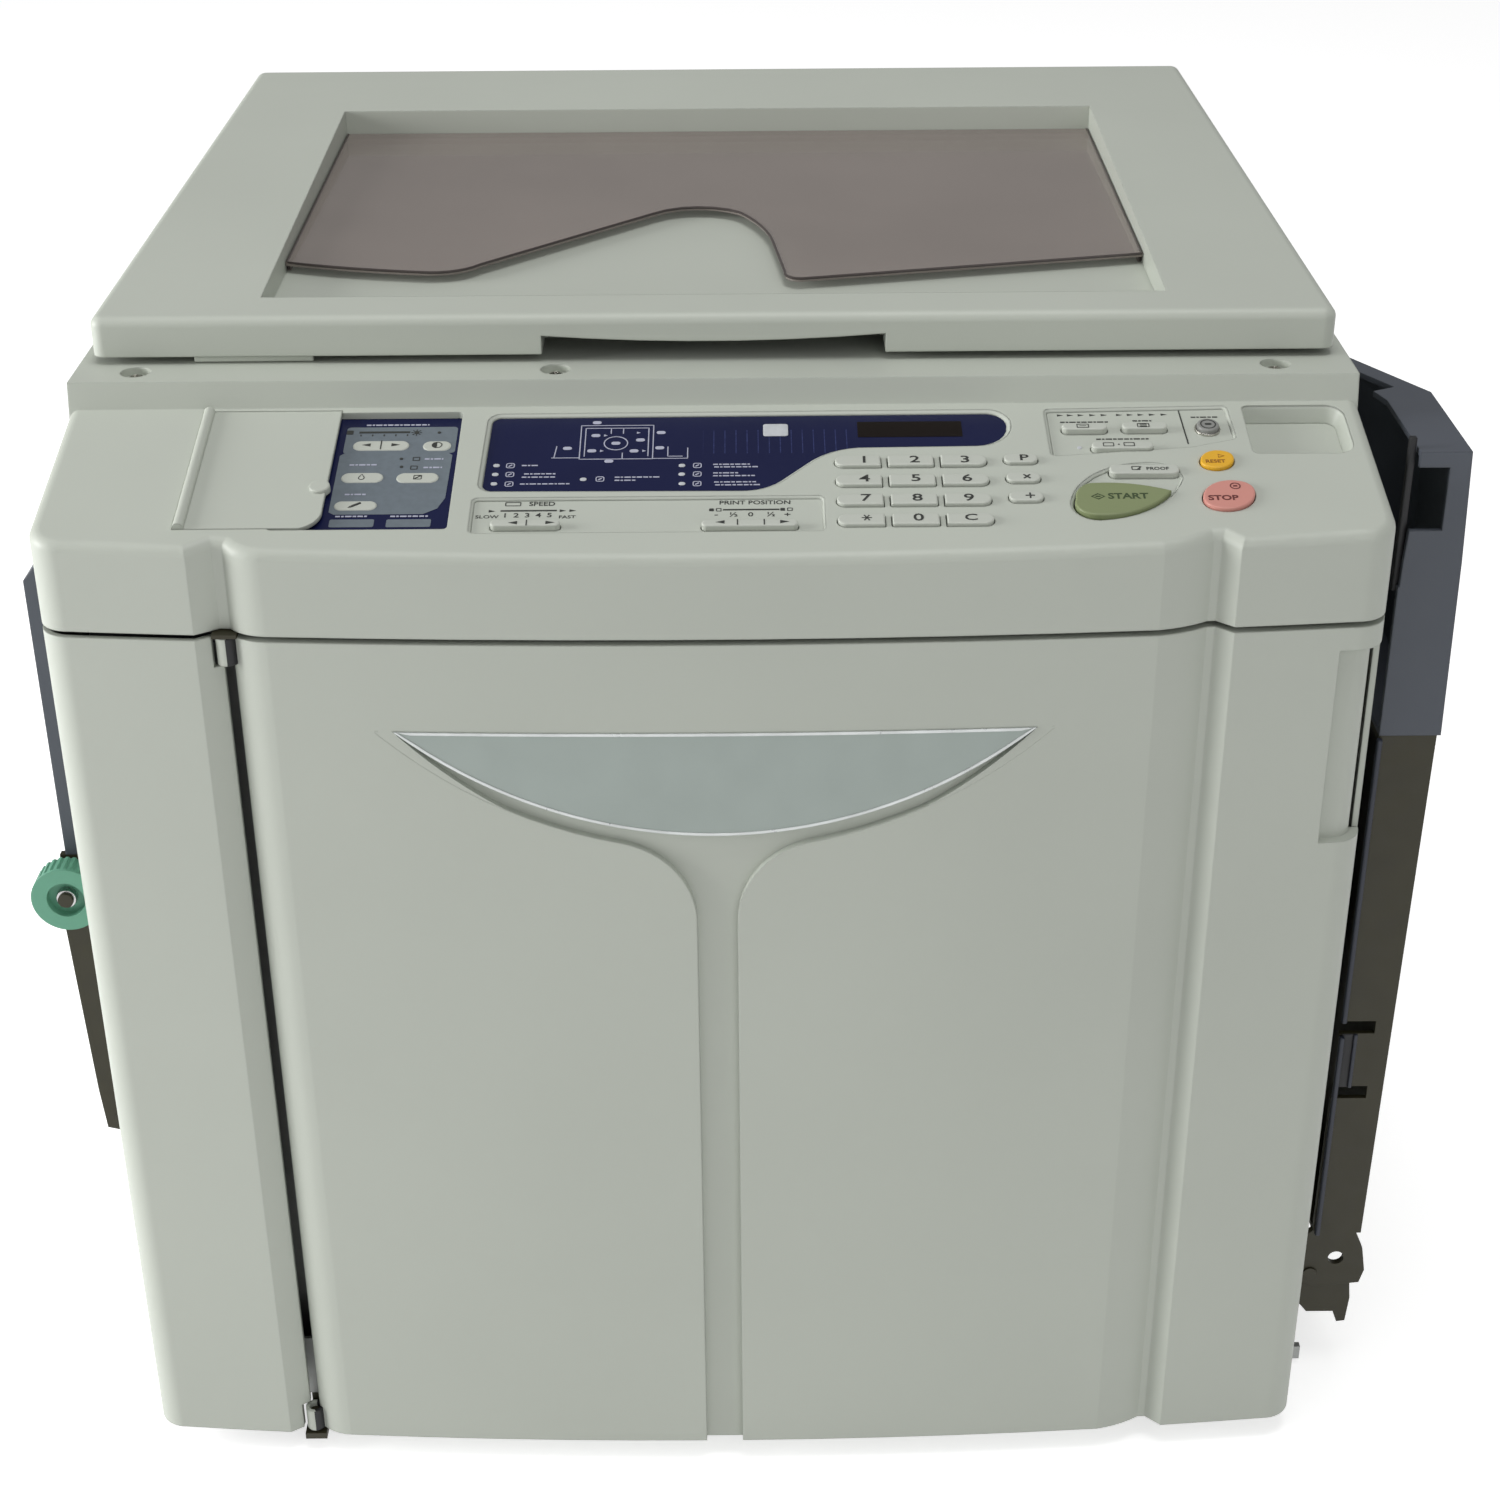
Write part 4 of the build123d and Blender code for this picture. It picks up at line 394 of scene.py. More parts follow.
def circle(r, steps=STEPS):
    return arc_points(0, 0, r, 0, 360 - 360 / steps, steps - 1)


def pill(width, height):
    return rounded(width, height, min(width, height) * 0.499, 6)


def bar(width, height):
    u, v = width / 2, height / 2
    return [(u, v), (-u, v), (-u, -v), (u, -v)]


def triangle(width, height):
    """Points to +u, or to -u where width is negative."""
    return [(width / 2, 0), (-width / 2, height / 2), (-width / 2, -height / 2)]


def through(a, b, c, steps=6):
    """Points from a to c on the circle through a, b and c; c is left out."""
    d = 2 * (a[0] * (b[1] - c[1]) + b[0] * (c[1] - a[1]) + c[0] * (a[1] - b[1]))
    squares = [p[0]**2 + p[1]**2 for p in (a, b, c)]
    x = (squares[0] * (b[1] - c[1]) + squares[1] * (c[1] - a[1]) + squares[2] * (a[1] - b[1])) / d
    y = (squares[0] * (c[0] - b[0]) + squares[1] * (a[0] - c[0]) + squares[2] * (b[0] - a[0])) / d
    first, middle, last = (math.atan2(p[1] - y, p[0] - x) for p in (a, b, c))
    sweep = (last - first) % (2 * math.pi)
    if (middle - first) % (2 * math.pi) > sweep:
        sweep -= 2 * math.pi
    r = math.hypot(a[0] - x, a[1] - y)
    return [(x + r * math.cos(first + sweep * k / steps), y + r * math.sin(first + sweep * k / steps))
            for k in range(steps)]


def sampled(lines):
    """Points along straight lines of two points and arcs of three."""
    points = []
    for line in lines:
        points += [line[0]] if len(line) == 2 else through(*line)
    return points


def shrink(outline, d):
    """Outline moved inwards by d, along the normals of its corners."""
    area = sum(a[0] * b[1] - b[0] * a[1] for a, b in zip(outline, outline[1:] + outline[:1]))
    sign = 1 if area > 0 else -1
    moved = []
    for before, here, after in zip(outline[-1:] + outline[:-1], outline, outline[1:] + outline[:1]):
        along = Vector((after[0] - before[0], after[1] - before[1])).normalized()
        moved.append((here[0] - sign * along.y * d, here[1] + sign * along.x * d))
    return moved


class Piece:
    """Closed solids gathered into one mesh that rides on one body."""

    def __init__(self):
        self.bm = bmesh.new()

    def rings(self, rows, close=False):
        """Skin between rows of points; the ends are capped, or joined to each other."""
        rows = [[self.bm.verts.new(p) for p in row] for row in rows]
        pairs = list(zip(rows, rows[1:]))
        if close:
            pairs.append((rows[-1], rows[0]))
        else:
            self.bm.faces.new(rows[0][::-1])
            self.bm.faces.new(rows[-1])
        count = len(rows[0])
        for low, high in pairs:
            for k in range(count):
                n = (k + 1) % count
                self.bm.faces.new((low[k], low[n], high[n], high[k]))
        return self

    def pad(self, outline, place, low, high, edge=0.0):
        """Outline raised from low to high; its top edge is rounded by edge."""
        rows = [[place(u, v, low) for u, v in outline]]
        steps = 3 if edge else 0
        for k in range(steps + 1):
            turn = math.pi / 2 * k / steps if steps else 0.0
            inset = edge * (1 - math.cos(turn))
            rise = high - edge + edge * math.sin(turn)
            rows.append([place(u, v, rise) for u, v in (shrink(outline, inset) if inset else outline)])
        return self.rings(rows)

    def frame(self, outline, width, place, low, high):
        """Closed band of the outline's inner width."""
        inner = shrink(outline, width)
        rows = [[place(u, v, h) for u, v in ring] for ring, h in
                ((outline, low), (outline, high), (inner, high), (inner, low))]
        return self.rings(rows, close=True)

    def slope(self, outline, width, place, low, high):
        """Wedge inside an outline: full height at the outline, down to nothing at its inner edge."""
        inner = shrink(outline, width)
        rows = [[place(u, v, h) for u, v in ring] for ring, h in
                ((outline, low), (outline, high), (inner, low))]
        return self.rings(rows, close=True)

    def lathe(self, profile, place, steps=24):
        """Profile of (radius, height), turned about the place's axis."""
        rows = []
        for r, h in profile:
            rows.append([place(r * math.cos(a), r * math.sin(a), h) for a in
                         (2 * math.pi * k / steps for k in range(steps))])
        return self.rings(rows)

    def tube(self, points, r):
        """Round bar through points in metres."""
        rows = []
        steps = 8
        last = len(points) - 1
        for k, point in enumerate(points):
            along = (points[min(k + 1, last)] - points[max(k - 1, 0)]).normalized()
            side = along.cross(Vector((0.31, 0.22, 0.93))).normalized()
            up = along.cross(side)
            rows.append([point + (side * math.cos(a) + up * math.sin(a)) * r * MM for a in
                         (2 * math.pi * n / steps for n in range(steps))])
        return self.rings(rows)

    def box(self, lo, hi, edge):
        """Box between two corners, with softened edges."""
        width, depth = hi[0] - lo[0], hi[1] - lo[1]
        cx, cy = (lo[0] + hi[0]) / 2, (lo[1] + hi[1]) / 2
        outline = rounded(width, depth, min(edge, width * 0.45, depth * 0.45), 2)
        soft = min(edge, (hi[2] - lo[2]) * 0.4) * 0.5
        rows = []
        for inset, z in ((soft, lo[2]), (0.0, lo[2] + soft), (0.0, hi[2] - soft), (soft, hi[2])):
            rows.append([at(cx + u, cy + v, z) for u, v in (shrink(outline, inset) if inset else outline)])
        return self.rings(rows)

    def letters(self, text, size, place, bold=0.0, wide=1.15):
        """Raised characters, centred; size is the font's size."""
        curve = bpy.data.curves.new("letters", "FONT")
        curve.body = text
        curve.size = size
        curve.align_x = "CENTER"
        curve.align_y = "CENTER"
        curve.extrude = PRINT / 2
        curve.offset = bold
        curve.resolution_u = 3
        holder = bpy.data.objects.new("letters", curve)
        bpy.context.scene.collection.objects.link(holder)
        view = bpy.context.evaluated_depsgraph_get()
        mesh = bpy.data.meshes.new_from_object(holder.evaluated_get(view))
        for vertex in mesh.vertices:
            u, v, h = vertex.co
            vertex.co = place(u * wide, v, h + PRINT / 2)
        self.bm.from_mesh(mesh)
        bpy.data.objects.remove(holder)
        bpy.data.curves.remove(curve)
        bpy.data.meshes.remove(mesh)
        return self

    def done(self, name, body, slot, material, replaces=()):
        """Mesh object from what was gathered, riding on its body."""
        bm = self.bm
        wide = [f for f in bm.faces if len(f.verts) > 4]
        bmesh.ops.recalc_face_normals(bm, faces=bm.faces)
        bmesh.ops.triangulate(bm, faces=wide)
        mesh = bpy.data.meshes.new(name)
        bm.to_mesh(mesh)
        bm.free()
        mesh.materials.append(material)
        mesh.shade_smooth()
        mesh.set_sharp_from_angle(angle=SHARP_ANGLE)
        piece = bpy.data.objects.new(name, mesh)
        bpy.context.scene.collection.objects.link(piece)
        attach(piece, body)
        if replaces:
            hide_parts(*replaces)
        return piece


def panel_at(x, s, h=0.0, turn=0.0):
    """Place function about a point of the panel."""
    c = math.cos(math.radians(turn))
    d = math.sin(math.radians(turn))

    def place(u, v, w):
        return on_panel(x + u * c - v * d, s + u * d + v * c, h + w)
    return place


def facing(origin, u_axis, v_axis):
    """Place function on a plane through origin; its third axis comes out of it."""
    u_axis = Vector(u_axis).normalized()
    v_axis = Vector(v_axis).normalized()
    out = u_axis.cross(v_axis)

    def place(u, v, w):
        return at(*(Vector(origin) + u_axis * u + v_axis * v + out * w))
    return place


# Sloping walls of the panel's hollows

WINDOW_LINE = (
    ((-112, 44), (-111, 97)),
    ((-111, 97), (-109, 102.2), (-103, 104.3)),
    ((-103, 104.3), (135, 105.2)),
    ((135, 105.2), (142.8, 101.3), (146, 92)),
    ((146, 92), (141, 79), (128, 73.3)),
    ((128, 73.3), (71, 72.6)),
    ((71, 72.6), (57.5, 68.6), (47, 60)),
    ((47, 60), (34, 45.5)),
    ((34, 45.5), (25, 39.2), (14, 37)),
    ((14, 37), (-106, 38)),
    ((-106, 38), (-110, 40), (-112, 44)),
)
# Hollow that the start and proof keys share, about its own middle
ALMOND_LINE = (
    ((-25, -1), (-12.6, 21), (12.4, 31)),
    ((12.4, 31), (25.4, 28), (30.9, 18)),
    ((30.9, 18), (12.4, -7.5), (-11.6, -16)),
    ((-11.6, -16), (-22.1, -11.5), (-25, -1)),
)
ALMOND_AT = (193.6, 27.0)
IMAGE_CORNERS = ((163, 64), (232, 71), (255, 78), (254, 107), (163, 105))
WALL_TOP = -0.02          # just under the panel's face
DISH_H = -8.99


def hollow_walls():
    """Sloping walls inside the window's rim, the shallow hollows and the dish."""
    here = panel_at(0, 0)
    walls = Piece()
    walls.slope(sampled(WINDOW_LINE), 2.2, here, WINDOW_H, WALL_TOP)
    walls.slope(sampled(ALMOND_LINE), 1.6, panel_at(*ALMOND_AT), HOLLOW_H, WALL_TOP)
    walls.slope(rounded(167, 28.5, 3), 1.5, panel_at(-30.5, 18.75), HOLLOW_H, WALL_TOP)
    walls.slope(softened(IMAGE_CORNERS, 3.0), 1.7, here, HOLLOW_H, WALL_TOP)
    dish = arc_points(302, 74, 9, 270, 360, 6) + arc_points(302, 98, 9, 0, 90, 6)
    dish += arc_points(264.5, 103.5, 3.5, 90, 180, 4) + arc_points(264.5, 68.5, 3.5, 180, 270, 4)
    walls.slope(dish, 3.2, here, DISH_H, -0.3)
    walls.done("hollow_walls", "chassis", "casing", MATERIALS["casing"])


def softened(corners, r):
    """Convex outline with its corners rounded by r."""
    points = []
    count = len(corners)
    for k, here in enumerate(corners):
        here = Vector(here)
        back = (Vector(corners[k - 1]) - here).normalized()
        ahead = (Vector(corners[(k + 1) % count]) - here).normalized()
        half = back.angle(ahead) / 2
        reach = r / math.tan(half)
        middle = here + (back + ahead).normalized() * (r / math.sin(half) - r)
        start = here + back * reach
        end = here + ahead * reach
        points += through(tuple(start), tuple(middle), tuple(end), 4) + [tuple(end)]
    return points


# Marks on the display window and on the panel


# The small drawing of the machine on the window: strokes from (x, s) to (x, s)
WINDOW_STROKES = (
    (-64.7, 64, -64.7, 93), (-64.7, 93, -29.3, 93), (-29.3, 93, -29.3, 64), (-64.7, 64, -29.3, 64),
    (-62.4, 66.5, -62.4, 90.6), (-62.4, 90.6, -31.6, 90.6), (-31.6, 90.6, -31.6, 66.5),
    (-78, 65.2, -64.7, 65.2), (-77, 65.2, -76, 75), (-29.3, 64.2, -12.4, 64.2),
    (-12.4, 64.2, -12.4, 73), (-22, 66, -22, 74), (-22, 66, -15, 66), (-50, 90.6, -50, 86),
    (-44, 90.6, -44, 86), (-44, 69, -44, 64),
)
STROKE_W = 0.5
WINDOW_PILLS = (
    (-57.2, 95.6), (-25.6, 86.5), (-26, 73.3), (-50.3, 62.2), (-70.8, 73.4), (-57.4, 84.3),
    (-58.9, 71.1), (-38.4, 70.8), (-35.5, 80.2), (-47.4, 77.5),
)
# Lines of print: middle and width
WINDOW_LABELS = (
    (-88, 59, 8), (-83, 51.9, 15), (-83, 49.2, 17), (-80, 43.5, 24), (-36, 48.6, 22),
    (-42, 46, 10), (9, 58.8, 18), (11, 56.6, 21), (6, 51.6, 12), (10, 49.2, 20),
    (10.5, 44, 20), (12, 41.6, 22),
)
WINDOW_SIGNS = (
    (-97.5, 59), (-97.3, 51.6), (-97.2, 43.6), (-54, 47.2), (-7.6, 58), (-7.6, 50.8), (-7.6, 42.8),
)
WINDOW_LAMPS = (
    (-104.2, 59.1), (-104.3, 51.6), (-104.4, 43.8), (-62, 47), (-15, 58), (-15, 50.7), (-14.8, 42.8),
)


# The window lies deeper than the panel, so what was measured on the panel's level moves on it
WINDOW_GROW = 1.0023
WINDOW_SHIFT = 2.5


def window_spot(x, s, turn=0.0):
    """Place on the sunk window for marks that were measured on the panel's own level."""
    return panel_at(WINDOW_GROW * x, s + WINDOW_SHIFT, WINDOW_H, turn)


def window_marks():
    """Machine outline, lamps and label strokes on the navy window."""
    ink = Piece()

    for x0, s0, x1, s1 in WINDOW_STROKES:
        length = math.hypot(x1 - x0, s1 - s0) + STROKE_W
        turn = math.degrees(math.atan2(s1 - s0, x1 - x0))
        ink.pad(bar(length, STROKE_W), window_spot((x0 + x1) / 2, (s0 + s1) / 2, turn), 0, PRINT)
    ink.frame(circle(6.0), 0.55, window_spot(-47.4, 77.5), 0, PRINT)
    for x, s in WINDOW_PILLS:
        ink.pad(pill(4.4, 2.6), window_spot(x, s), 0, PRINT)
    for x, s in ((-54, 71), (-36.5, 86.5), (-33.5, 70.8), (-52.5, 84.3)):
        ink.pad(triangle(1.8, 1.8), window_spot(x, s), 0, PRINT)
    for x, s, width in WINDOW_LABELS:
        words(ink, window_spot, x, s, width, 0.9)
    for x, s in WINDOW_SIGNS:
        ink.frame(rounded(4.2, 4.2, 1.2, 3), 0.5, window_spot(x, s), 0, PRINT)
        ink.pad(bar(2.2, 0.7), window_spot(x, s, 40), 0, PRINT)
    ink.done("window_marks", "chassis", "key_white", PALE_INK)
    lamps = Piece()
    for x, s in WINDOW_LAMPS:
        lamps.pad(pill(3.2, 2.6), window_spot(x, s), 0, 0.25, 0.1)
    lamps.pad(rounded(12.2, 10.4, 1.4), window_spot(30.4, 87.8), 0, 0.3, 0.12)
    lamps.done("window_lamps", "chassis", "key_white", LENS)
    lcd = Piece()
    lcd.pad(rounded(51.2, 13.4, 0.6), window_spot(96, 87.8), 0, 0.15)
    lcd.done("number_display", "chassis", "navy_film", LCD)


DASHES = (2.3, 1.2, 3.1, 1.7, 2.6)
DASH_GAP = 0.55
DASH_LEAST = 0.6


def words(ink, spot, x, s, width, height):
    """A line of print seen from afar: short dashes of uneven length."""
    left = -width / 2
    k = 0
    while left < width / 2 - DASH_LEAST:
        dash = min(DASHES[k % len(DASHES)], width / 2 - left)
        ink.pad(bar(dash, height), spot(x + left + dash / 2, s), 0, PRINT)
        left += dash + DASH_GAP
        k += 1


def plate_spot(x, s, turn=0.0, h=0.0):
    return panel_at(x, s, PLATE_H + h, turn)


def sub_plate_marks():
    """Grey fields, slide scale and label strokes on the sunk plate beside the flap."""
    fields = Piece()
    fields.pad(rounded(54.5, 22.6, 2), plate_spot(-153.2, 87.2), 0, PRINT)
    low = [(-181.6, 27), (-179, 25), (-137, 25), (-130.5, 29.5), (-127.4, 38), (-126.9, 74),
           (-129, 76), (-179.6, 76), (-181.6, 74)]
    fields.pad(low, plate_spot(0, 0), 0, PRINT)
    fields.pad(rounded(21, 6.2, 1), plate_spot(-169.8, 18), 0, PRINT)
    fields.pad(rounded(21, 6.2, 1), plate_spot(-143, 17.8), 0, PRINT)
    fields.done("key_plate_fields", "chassis", "key_grey", GREY_PRINT)
    ink = Piece()
    ink.pad(bar(25, 1.5), plate_spot(-161.8, 94, 0, PRINT), 0, PRINT)
    ink.pad(rounded(3.4, 3.4, 0.6, 2), plate_spot(-178.8, 94, 0, PRINT), 0, PRINT)
    ink.pad(circle(1.3, 12), plate_spot(-146, 93.6, 0, PRINT), 0, PRINT)
    for k in range(8):
        x = -146 + 2.1 * math.cos(k * 0.785)
        s = 93.6 + 2.1 * math.sin(k * 0.785)
        ink.pad(bar(0.5, 1.1), plate_spot(x, s, 45 * k - 90, PRINT), 0, PRINT)
    for k in range(5):
        ink.pad(bar(0.7, 1.4), plate_spot(-173.2 + 5.7 * k, 91.4, 0, PRINT), 0, PRINT)
    for x, s in ((-144.1, 70.8), (-144.6, 63.4)):
        ink.frame(rounded(3.6, 3.2, 0.4, 2), 0.5, plate_spot(x, s, 0, PRINT), 0, PRINT)
    ink.done("key_plate_marks", "chassis", "rubber", INK)
    lamps = Piece()
    for x, s in ((-134.9, 93.4), (-151.4, 70.9), (-150.7, 64.1)):
        lamps.pad(circle(0.9, 12), plate_spot(x, s, 0, PRINT), 0, 0.25, 0.1)
    lamps.done("key_plate_lamps", "chassis", "rubber", INK)
    pale = Piece()

    def printed_spot(x, s):
        return plate_spot(x, s, 0, PRINT)

    for x, s, width in ((-155.8, 100.3, 31), (-169, 66, 14), (-135.5, 70.6, 9), (-135.5, 63.4, 9),
                        (-170, 41.3, 11), (-170.5, 23.4, 15), (-143, 23.2, 18)):
        words(pale, printed_spot, x, s, width, 1.1)
    pale.done("key_plate_labels", "chassis", "key_white", PALE_INK)


def hollow_spot(x, s, turn=0.0):
    return panel_at(x, s, HOLLOW_H, turn)


def panel_marks():
    """Scales, digits and strokes printed in the shallow hollows of the panel."""
    ink = Piece()
    ink.pad(bar(26.5, 1.1), hollow_spot(-86.7, 24), 0, PRINT)
    ink.pad(bar(26.6, 1.1), hollow_spot(18.1, 23.6), 0, PRINT)
    for x in (-104, -70.6, -66):
        ink.pad(triangle(3, 2), hollow_spot(x, 23.8), 0, PRINT)
    for k in range(5):
        ink.letters(str(k + 1), 4.8, hollow_spot(-97.6 + 5.22 * k, 20.2), 0.05)
    ink.letters("0", 4.6, hollow_spot(17.8, 19.6), 0.05)
    for x in (9.9, 27.5):
        ink.letters("½", 4.8, hollow_spot(x, 19.6), 0.05)
    ink.letters("-", 5, hollow_spot(1.6, 19.8), 0.06)
    ink.letters("+", 5, hollow_spot(35.1, 19.3), 0.06)
    ink.letters("SPEED", 4.6, hollow_spot(-80.6, 29.3), 0.06, 1.0)
    ink.letters("SLOW", 3.4, hollow_spot(-106.1, 19.2), 0.03)
    ink.letters("FAST", 3.2, hollow_spot(-68.4, 18.7), 0.03)
    ink.letters("PRINT POSITION", 4.3, hollow_spot(19.9, 29.2), 0.05, 1.05)
    ink.frame(rounded(7.6, 3.2, 0.6, 2), 0.5, hollow_spot(-94.3, 29.4), 0, PRINT)
    for x in (1.6, 35.1):
        ink.pad(rounded(2.2, 2.2, 0.4, 2), hollow_spot(x - 2.2, 23.6), 0, PRINT)
        ink.frame(rounded(2.6, 2.6, 0.4, 2), 0.45, hollow_spot(x + 1.2, 23.6), 0, PRINT)
    for x in (171.1, 176, 181.3, 187.1, 192.7, 200.3, 205.6, 210.9, 216.5, 222.3):
        ink.pad(triangle(3.0, 1.8), hollow_spot(x, 101.3), 0, PRINT)
    for x, s, width in ((182.8, 95.2, 24.6), (210.9, 96, 9.3), (199.5, 80.2, 25.6), (242.1, 98.8, 13.6)):
        words(ink, hollow_spot, x, s, width, 1.0)
    ink.pad(bar(0.7, 30), hollow_spot(230.5, 90.5, 2), 0, PRINT)
    ink.done("panel_marks", "chassis", "rubber", INK)
    lamp_dot = Piece()
    lamp_dot.pad(circle(1.2, 12), hollow_spot(177.8, 72.9), 0, 0.3, 0.1)
    lamp_dot.done("image_lamp", "chassis", "key_white", LENS)
    ring = Piece()
    ring.lathe(((6.3, 0.0), (6.3, 0.9), (5.9, 1.2), (5.5, 0.9), (5.45, 0.0)), hollow_spot(242, 88), 28)
    ring.done("interval_ring", "chassis", "key_grey", CHROME)


KEY_TEXTS = {
    "key_1": ("1", 72.6, 59.5), "key_2": ("2", 96.9, 59.4), "key_3": ("3", 121.1, 59.1),
    "key_4": ("4", 72.3, 43.8), "key_5": ("5", 96.7, 43.8), "key_6": ("6", 121.0, 43.5),
    "key_7": ("7", 72.1, 27.9), "key_8": ("8", 96.5, 27.8), "key_9": ("9", 120.8, 27.5),
    "key_0": ("0", 96.2, 11.8), "key_clear": ("C", 120.7, 11.6),
    "key_program": ("P", 149.4, 60.2),
}


def star(ink, x, s):
    for turn in (0, 60, 120):
        ink.pad(bar(4.8, 0.6), panel_at(x, s, KEY_TOP + turn / 6000, turn), 0, PRINT)


def key_marks():
    """Numbers and plain signs on the keys; each rides with its key."""
    for node, (text, x, s) in KEY_TEXTS.items():
        size = 7.8 if text.isdigit() else 6.8
        ink = Piece().letters(text, size, panel_at(x, s, KEY_TOP), 0.09, 1.35)
        ink.done("mark_" + node, node, "rubber", INK)
    for node, x, s, turns in (("key_times", 149.6, 44.6, (45, 135)), ("key_plus", 149.8, 29, (0, 90))):
        ink = Piece()
        for turn in turns:
            ink.pad(bar(4.4, 0.8), panel_at(x, s, KEY_TOP + turn / 9000, turn), 0, PRINT)
        ink.done("mark_" + node, node, "rubber", INK)
    ink = Piece()
    star(ink, 72.0, 12)
    ink.done("mark_key_star", "key_star", "rubber", INK)
    ink = Piece().letters("START", 6.2, panel_at(195.8, 27.7, KEY_TOP), 0.14, 1.05)
    ink.frame([(3.4, 0), (0, 2.5), (-3.4, 0), (0, -2.5)], 0.7, panel_at(181.6, 27.7, KEY_TOP), 0, PRINT)
    ink.pad(bar(2.4, 0.9), panel_at(181.6, 27.7, KEY_TOP), 0, PRINT)
    ink.done("mark_start_key", "start_key", "rubber", GREEN_INK)
    ink = Piece().letters("STOP", 5.4, panel_at(240.4, 25.7, KEY_TOP), 0.14, 1.1)
    ink.frame(circle(2.6, 16), 0.6, panel_at(247.4, 35.4, KEY_TOP), 0, PRINT)
    ink.pad(bar(2.0, 1.2), panel_at(247.4, 35.4, KEY_TOP), 0, PRINT)
    ink.done("mark_stop_key", "stop_key", "rubber", RED_INK)
    ink = Piece().letters("RESET", 3.6, panel_at(241, 56, KEY_TOP), 0.06, 1.0)
    ink.frame(triangle(3.2, 3.0), 0.5, panel_at(244.5, 60.5, KEY_TOP), 0, PRINT)
    ink.done("mark_reset_key", "reset_key", "rubber", AMBER_INK)
    ink = Piece().letters("PROOF", 3.4, panel_at(212.5, 50.2, KEY_TOP), 0.05, 1.0)
    ink.frame(rounded(4.2, 3.2, 0.5, 2), 0.5, panel_at(202.2, 50.8, KEY_TOP), 0, PRINT)
    ink.pad(bar(3.2, 0.6), panel_at(203.8, 50.8, KEY_TOP + 0.01, 50), 0, PRINT)
    ink.done("mark_proof_key", "proof_key", "rubber", INK)
    for node, x, s, lines in (("image_key_line", 180.6, 87.2, 1), ("image_key_photo", 210.2, 87.4, 3)):
        ink = Piece().frame(rounded(6, 3.4, 0.4, 2), 0.45, panel_at(x, s, KEY_TOP), 0, PRINT)
        for k in range(lines):
            ink.pad(bar(3.4, 0.4), panel_at(x, s + (k - (lines - 1) / 2) * 0.9, KEY_TOP), 0, PRINT)
        ink.done("mark_" + node, node, "rubber", INK)
    ink = Piece().frame(circle(3.9, 20), 0.6, panel_at(242, 88, KEY_TOP), 0, PRINT)
    ink.pad(pill(3.4, 1.6), panel_at(242, 88, KEY_TOP), 0, PRINT)
    ink.done("mark_interval_key", "interval_key", "rubber", INK)
    ink = Piece()
    for x in (191.4, 201.4):
        ink.frame(rounded(5.4, 3.2, 0.4, 2), 0.45, panel_at(x, 71, KEY_TOP), 0, PRINT)
    ink.pad(circle(0.5, 8), panel_at(196.4, 71, KEY_TOP), 0, PRINT)
    ink.done("mark_image_key_duo", "image_key_duo", "rubber", INK)
    rocker_marks()
    sub_key_marks()


def rocker_marks():
    """Split lines and arrows on the tilting keys."""
    rockers = (
        ("speed_key", KEY_TOP, (-86.8,), 4.4, ((-93.2, -1), (-75.8, 1)), 10.1),
        ("position_key", KEY_TOP, (11.6, 24.1), 4.4, ((3.5, -1), (33.6, 1)), 9.4),
        ("scan_level_key", SUB_KEY_TOP, (-162.4,), 7.4, ((-169.6, -1), (-155.2, 1)), 82.4),
    )
    for node, top, splits, height, arrows, s in rockers:
        ink = Piece()
        for split in splits:
            ink.pad(bar(0.6, height), panel_at(split, s, top), 0, PRINT)
        for x, way in arrows:
            ink.pad(triangle(4.2 * way, 2.6), panel_at(x, s, top), 0, PRINT)
        ink.done("mark_" + node, node, "rubber", INK)


def sub_key_marks():
    """Small signs on the keys of the sunk plate."""
    top = SUB_KEY_TOP
    ink = Piece().frame(circle(2.6, 18), 0.5, panel_at(-135, 81.9, top), 0, PRINT)
    ink.pad([(0, 2.4), (-1.7, 1.7), (-2.4, 0), (-1.7, -1.7), (0, -2.4)], panel_at(-135, 81.9, top), 0, PRINT)
    ink.done("mark_auto_level_key", "auto_level_key", "rubber", INK)
    drop = [(0, 2.7), (-1.2, 0.6)] + arc_points(0, -0.6, 1.6, 150, 390, 8) + [(1.2, 0.6)]
    ink = Piece().frame(drop, 0.4, panel_at(-169, 55, top), 0, PRINT)
    ink.done("mark_ink_save_key", "ink_save_key", "rubber", INK)
    ink = Piece().frame(rounded(4, 3.6, 0.4, 2), 0.45, panel_at(-142, 54.6, top), 0, PRINT)
    ink.pad(bar(4.4, 0.6), panel_at(-142, 54.6, top + 0.01, 45), 0, PRINT)
    ink.done("mark_double_feed_key", "double_feed_key", "rubber", INK)
    ink = Piece().pad(rounded(5.4, 1.5, 0.4, 2), panel_at(-169.2, 32.3, top, 35), 0, PRINT)
    ink.pad(triangle(-1.7, 1.5), panel_at(-172.2, 30.2, top, 35), 0, PRINT)
    ink.done("mark_pencil_key", "pencil_key", "rubber", INK)


# Small solid pieces


SCREW_PROFILE = ((4.1, 0.0), (4.1, 0.7), (3.6, 1.5), (2.6, 2.0), (1.4, 2.15), (1.3, 1.2), (0.4, 1.1))


def screw(piece, place):
    piece.lathe(SCREW_PROFILE, place, 20)


def boxes(name, body, slot, material, edge, corners):
    """One piece of boxes, each between two corners."""
    piece = Piece()
    for lo, hi in corners:
        piece.box(lo, hi, edge)
    piece.done(name, body, slot, material)


